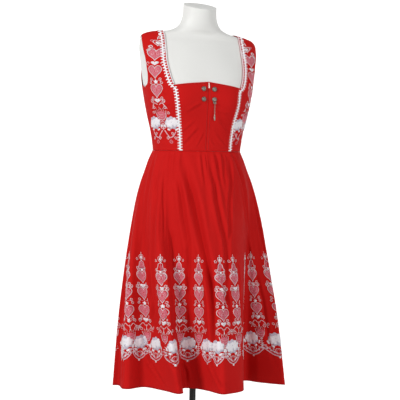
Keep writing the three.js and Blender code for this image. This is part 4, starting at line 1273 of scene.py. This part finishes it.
def lace_middle(frame_of, y):
    """How far outward the lace's middle lies: on the princess seam, and beside the edge above."""
    station = np.interp(y, frame_of["run"], frame_of["stations"])
    return LACE_ASIDE * smooth(NECK_STATION - 0.7, NECK_STATION + 0.4, station)


def make_lace(side, name):
    """A lace trim: a narrow band with a raised cord and pointed picots, by turns on its two edges."""
    frame_of = seam_frame(princess, 0, STATIONS, side)
    lay_beside = lay_on_line(frame_of, 0.55)

    def lay(flat, height):
        aside = lace_middle(frame_of, flat[:, 1])
        return lay_beside(np.stack([flat[:, 0] + aside, flat[:, 1]], -1), height)

    threads = Threads(lay)
    total = frame_of["run"][-1]
    half = LACE_WIDTH / 2
    steps = int(total / LACE_PITCH)
    y = np.linspace(1, total - 1, 6 * steps)
    threads.ribbon("white", np.stack([0 * y, y], -1), LACE_CORE, 0.05, 0.6)
    wave = 1.3 * np.sin(2 * np.pi * steps * (y - 1) / (total - 2))
    threads.ribbon("white", np.stack([wave, y], -1), 1.6, 0.5, 0.9)
    tooth = [(half * 0.25, -1.9), (half * 0.9, -1.7), (half + 1.6, 0), (half * 0.9, 1.7), (half * 0.25, 1.9)]
    for k in range(steps):
        for edge, shift in ((-1, 0.3), (1, 0.8)):
            middle = (k + shift) * total / steps
            outline = [(edge * x, middle + along) for x, along in tooth]
            threads.patch("white", outline, 0.05, 0.9, 2)
    return threads.finish(name, {"white": LACE_FINISH}, "lace")[0]


def make_edging(side, name):
    """The narrow white edging along a strap's inner edge, with its row of tiny scallops."""
    frame_of = seam_frame(princess, NECK_STATION + 0.15, STATIONS, side)
    threads = Threads(lay_on_line(frame_of, 0.2))
    total = frame_of["run"][-1]
    y = np.linspace(0.5, total - 0.5, int(total / 1.2))
    scallops = 1.2 + 0.3 * np.sin(2 * np.pi * y / EDGING_WAVE)
    threads.ribbon("white", np.stack([scallops, y], -1), EDGING_WIDTH, 0.1, 0.8)
    return threads.finish(name, {"white": LACE_FINISH}, "lace")


def panel_pattern(threads):
    """The column of a side-front panel: x aside in mm, y the height before the lean."""
    ribbon, patch = threads.ribbon, threads.patch
    ribbon("white", [(0, 1376), (0, 1371), (0, 1366)], 1.6)
    bud(threads, (0, 1354), 15, 18)
    for side in (-1, 1):
        ribbon("white", curl((side * 10, 1343), 4.5, 90, 1.0, -side, 12), 1.5)
        ribbon("pink", curl((side * 8, 1362), 3.5, 270, 0.9, side, 10), 1.3)
    netted_heart(threads, (0, 1318), 33, 36)
    junction(threads, 1338, 12)
    solid_heart(threads, (0, 1292), 20, 13)
    netted_heart(threads, (0, 1266), 35, 38)
    junction(threads, 1241, 14)
    patch("white", petals((0, 1238), 7, 5, 0.45, 90, 20), 0.15, 0.6, 2)
    netted_heart(threads, (0, 1211), 37, 40)
    solid_heart(threads, (0, 1183), 21, 13)
    junction(threads, 1186, 15)
    crown_pattern(threads, 1146)
    for side in (-1, 1):
        scroll = [(side * 3, 1172), (side * 11, 1177), (side * 18, 1171), (side * 23, 1160)]
        ribbon("white", smooth_path(scroll), 1.8)
        ribbon("white", curl((side * 16, 1164), 5, 90, 1.2, -side, 14), 1.6)
        ribbon("white", curl((side * 23, 1149), 4.5, 200, 1.1, side, 12), 1.5)
        flower(threads, (side * 27, 1119), 40, 38)
        swag = [(side * 3, 1096), (side * 10, 1086), (side * 18, 1074), (side * 27, 1078), (side * 36, 1092)]
        ribbon("pink", smooth_path(swag), 2.6, 0.12, 0.5)
        ribbon("white", smooth_path(np.array(swag) + (0, 1.5)), 1.3, 0.4, 0.6)
        for x, z in ((11, 1074), (25, 1087), (34, 1074)):
            ribbon("white", curl((side * x, z), 4.8, 270, 1.1, side, 12), 1.6)
        ribbon("pink", curl((side * 22, 1062), 6, 90, 1.2, side, 14), 1.8)
    stem(threads, 1126, 1098)


def junction(threads, middle, reach):
    """The S-shaped curls on either side of a place where two hearts meet."""
    for side in (-1, 1):
        threads.ribbon("white", curl((side * reach, middle + 5), 4.8, 270, 1.15, -side, 13), 1.5)
        threads.ribbon("white", curl((side * (reach + 3), middle - 5), 4.8, 90, 1.15, side, 13), 1.5)
        bow = [(reach * 0.25, middle), (reach * 0.8, middle + 1.5), (reach + 4, middle)]
        threads.ribbon("pink", smooth_path(bow) * (side, 1), 1.3)


def crown_pattern(threads, middle):
    """The pineapple below each column: a netted cup with four spikes and two ribs."""
    cup = np.array([(0, 8), (9, 6), (14, -2), (9, -14), (0, -19), (-9, -14), (-14, -2), (-9, 6)], float)
    threads.patch("net", smooth_loop(cup) + (0, middle), 0.3, 0.3, 4)
    crown = np.array([
        (0, 20), (4, 9), (10, 17), (10, 6), (17, 9), (13, -8), (7, -17), (0, -19),
        (-7, -17), (-13, -8), (-17, 9), (-10, 6), (-10, 17), (-4, 9), (0, 20),
    ], float)
    threads.ribbon("white", crown + (0, middle), 1.7)
    for rise in (-6, 1):
        threads.ribbon("white", arc((0, middle + rise + 8), 13, 230, 310, 8), 1.3)


def stem(threads, top, bottom):
    """A fishbone stem: an upright and five pairs of bars."""
    threads.ribbon("white", [(0, top), (0, mix(top, bottom, 0.5)), (0, bottom)], 1.8)
    for step in range(5):
        low = mix(bottom, top, 0.12 + 0.18 * step)
        reach = 8.5 - 0.9 * step
        threads.ribbon("white", [(-reach, low + 3), (0, low), (reach, low + 3)], 1.4)


def make_bodice_embroidery(side, name):
    """The embroidery of one side-front panel."""
    heights, turns = PANEL_COLUMN.T
    threads = Threads(lay_on_bodice(side, lambda z: np.interp(z, heights, turns)))
    panel_pattern(threads)
    return threads.finish(f"{name}_embroidery", THREAD_COLOURS, "lace")


def make_zip_tape():
    """The concealed zip's tape, behind the edges of the two front panels."""
    stations = np.linspace(0.1, NECK_STATION - 0.1, 40)
    asides = np.linspace(-12, 12, 7)
    middle = centre_front(stations)[:, None]
    grid = land(middle + asides[None, :, None] * np.array([1.0, 0.0, 0.0]), TO_FRONT)
    normal = normal_at(grid)
    outer_lift, inner_lift = 1.6, 0.9
    outer, inner = lean(grid + normal * outer_lift), lean(grid + normal * inner_lift)
    uv = np.stack([grid[..., 0], grid[..., 2]], -1)
    made = shell("zip_tape_cloth", outer, inner, RED_CLOTH, uv)
    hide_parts("zip_tape")
    return made


def stitch_row(threads, colour, start, end, step=3.2, long=2.3, width=0.9):
    """A straight row of separate stitches."""
    a, b = np.array(start, float), np.array(end, float)
    count = max(1, int(np.linalg.norm(b - a) / step))
    for k in range(count):
        p = mix(a, b, k / count)
        q = p + (b - a) / np.linalg.norm(b - a) * long
        threads.ribbon(colour, [p, (p + q) / 2, q], width, 0.05, 0.35)


def lay_on_front(flat, height):
    """Lays a flat pattern on the front: x aside and y the height before the lean."""
    start = np.stack([flat[:, 0], np.full(len(flat), FRONT_NEAR), flat[:, 1]], -1)
    return raised(land(start, TO_FRONT), height)


def make_stitching():
    """Topstitching along the neckline and on both sides of the centre front opening."""
    threads = Threads(lay_on_front)
    shares = np.linspace(0.03, 0.9, 34)
    under_neckline = np.array([NECK_STATION - 0.14])
    zip_aside, zip_low, zip_high = 4.5, 1038, 1238
    row = between(centre_front(under_neckline), princess(under_neckline), shares)[0]
    for side in (-1, 1):
        for a, b in zip(row[:-1], row[1:]):
            start, end = np.array([side * a[0], a[2]]), np.array([side * b[0], b[2]])
            threads.ribbon("red", [start, mix(start, end, 0.35), mix(start, end, 0.7)], 0.9, 0.05, 0.35)
        stitch_row(threads, "red", (side * zip_aside, zip_low), (side * zip_aside, zip_high))
    return threads.finish("bodice_topstitching", {"red": STITCH_RED}, "bodice_cloth")


def on_bodice(x, z):
    """The point of the bodice's outer face straight in front of (x, z), and its normal."""
    p = land(np.array([[x, FRONT_NEAR, z]]), TO_FRONT)
    normal = normal_at(p)
    return lean(p + normal * (clearance(p[..., 2]) + WALL)[:, None])[0], normal[0]


def turned_to(normal):
    """Three axes with the last one along normal."""
    side = unit(np.cross(np.array([0.0, 0.0, 1.0]), normal))
    return np.stack([side, np.cross(normal, side), normal], 0)


def make_button(name, x, z):
    """An antique button: a dome with a beaded rim and petals round a raised eye. Its height is an
    arc of the radius, plus rings as bells of the radius, with waves in the angle."""
    columns, rows = 64, 30
    r = np.linspace(0, 1, rows)[1:]
    t = np.linspace(0, 2 * np.pi, columns, endpoint=False)
    radius, turn = np.meshgrid(r, t, indexing="ij")
    dome = 1.6 + (BUTTON_HEIGHT - 1.9) * np.sqrt(np.maximum(0, 1 - (radius * 0.97) ** 2))
    rim_wave = 0.35 * np.exp(-(((radius - 0.9) / 0.06) ** 2)) * (1 + np.cos(24 * turn)) / 2
    petal = 0.5 * np.exp(-(((radius - 0.5) / 0.2) ** 2)) * np.cos(4 * turn) ** 2
    eye = 0.5 * np.exp(-((radius / 0.16) ** 2))
    outer_groove = 0.3 * np.exp(-(((radius - 0.78) / 0.045) ** 2))
    inner_groove = 0.25 * np.exp(-(((radius - 0.24) / 0.05) ** 2))
    chasing = rim_wave + petal + eye - outer_groove - inner_groove
    relief = np.clip(0.32 + chasing * 1.5, 0, 1)
    out = radius * BUTTON_RADIUS
    face = np.stack([out * np.cos(turn), out * np.sin(turn), dome + chasing], -1)
    edge = face[-1] * (1, 1, 0)
    points = np.concatenate([face.reshape(-1, 3), edge, edge * 0.4, [[0, 0, dome[0, 0] + 0.5]], [[0, 0, 0]]])
    faces = grid_faces(rows + 1, columns, closed=True).tolist()
    last, top, bottom = rows * columns, (rows + 1) * columns, (rows + 1) * columns + 1
    for k in range(columns):
        after = (k + 1) % columns
        faces += [[top, k, after], [bottom, last + after, last + k]]
    place, normal = on_bodice(x, z)
    off_cloth = 0.5
    points = points @ turned_to(normal) + place + normal * off_cloth
    values = np.concatenate([relief.ravel(), np.full(2 * columns, 0.15), [0.9, 0.1]])
    made = new_piece(f"{name}_domed", points, faces, SILVER, values=values)
    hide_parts(name)
    return made


def link_ring(middle, wide, high, wire, flat_turn):
    """A chain link: a round wire carried along an oval, standing at a turn about Z."""
    along = np.linspace(0, 2 * np.pi, 16, endpoint=False)
    around = np.linspace(0, 2 * np.pi, 7, endpoint=False)
    s, t = np.meshgrid(along, around, indexing="ij")
    x = (wide / 2 + wire * np.cos(t)) * np.cos(s)
    z = (high / 2 + wire * np.cos(t)) * np.sin(s)
    y = wire * np.sin(t)
    c, d = np.cos(flat_turn), np.sin(flat_turn)
    return np.stack([x * c - y * d, x * d + y * c, z], -1) + middle


def make_pendant():
    """The pendant: an eye on the hanger's bar, a short chain of flat links and a long drop."""
    low, high = (np.array(corner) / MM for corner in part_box("pendant"))
    x, y, top = (low[0] + high[0]) / 2, (low[1] + high[1]) / 2, high[2]
    grids = [link_ring(np.array([x, y, top - EYE_DOWN]), 3.9, 3.9, 0.75, np.pi / 2)]
    for k in range(LINKS):
        middle = np.array([x, y, top - LINK_DOWN - LINK_PITCH * k])
        grids.append(link_ring(middle, 3.4, 4.6, 0.55, (k % 2) * 0.9 - 0.45))

    columns, bottom = 20, low[2] + 0.8
    long = top - LINK_DOWN - LINK_PITCH * LINKS - bottom
    share = np.linspace(0, 1, 26)
    beads = 0.35 * np.cos(18 * share) * np.sin(np.pi * share)
    width = np.maximum(0.5 + 2.1 * np.sin(np.pi * share**0.62) ** 0.9 + beads, 0.25)[:, None]
    turn = np.linspace(0, 2 * np.pi, columns, endpoint=False)
    z = np.repeat((bottom + share * (long + 2.2))[:, None], columns, 1)
    drop = np.stack([x + width * np.cos(turn), y + 0.6 * width * np.sin(turn), z], -1)

    faces = grid_faces(len(share), columns, closed=True).tolist()
    count = drop[..., 0].size
    faces += [list(range(columns))[::-1], list(range(count - columns, count))]
    for ring in grids:
        rows, around = ring.shape[:2]
        faces += (grid_faces(rows + 1, around, closed=True) % (rows * around) + count).tolist()
        count += rows * around
    points = np.concatenate([grid.reshape(-1, 3) for grid in (drop, *grids)])
    values = np.full(count, 0.55)
    made = new_piece("pendant_drop", points, faces, SILVER, values=values)
    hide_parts("pendant")
    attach(made, "pendant")


bodice = make_bodice()
skirt = make_skirt()
form = make_form()
tape = make_zip_tape()
embroidery = make_skirt_embroidery()
trims = make_stitching()
strap_trims = {}
panel_threads = {}
for side, name in SIDES:
    lace = make_lace(side, f"lace_trim_{name}_cotton")
    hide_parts(f"lace_trim_{name}")
    strap_trims[name] = [lace, *make_edging(side, f"strap_edging_{name}")]
    trims += strap_trims[name]
    panel_threads[name] = make_bodice_embroidery(side, f"bodice_side_front_{name}")
buttons = [
    make_button(f"button_{level}_{name}", side * BUTTON_APART / 2, BUTTON_LEVELS[level])
    for side, name in SIDES
    for level in ("upper", "lower")
]
make_pendant()
all_threads = [made for rows in (embroidery, panel_threads) for row in rows.values() for made in row]
for made in [*bodice.values(), *skirt.values(), form, tape, *all_threads, *trims, *buttons]:
    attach(made, "dress")
NODE_FINISHES = {
    "stand_pole": BLACK, "stand_base": BLACK, "zip_slider": PULL, "pendant_hanger": SILVER_PLAIN,
}
for node, material in NODE_FINISHES.items():
    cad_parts[node].material_slots[0].material = material
make_stage()
make_camera()

world = bpy.data.worlds.new("studio")
world.use_nodes = True
world.node_tree.nodes["Background"].inputs["Color"].default_value = (1, 1, 1, 1)
world.node_tree.nodes["Background"].inputs["Strength"].default_value = WORLD_LIGHT
bpy.context.scene.world = world
add_light("key", place=(-4.2, -1.9, 2.8), power=152, size=1.0)
add_light("fill", place=(1.6, -4.2, 1.5), power=76, size=2.5)
bpy.context.scene.view_settings.view_transform = "Standard"
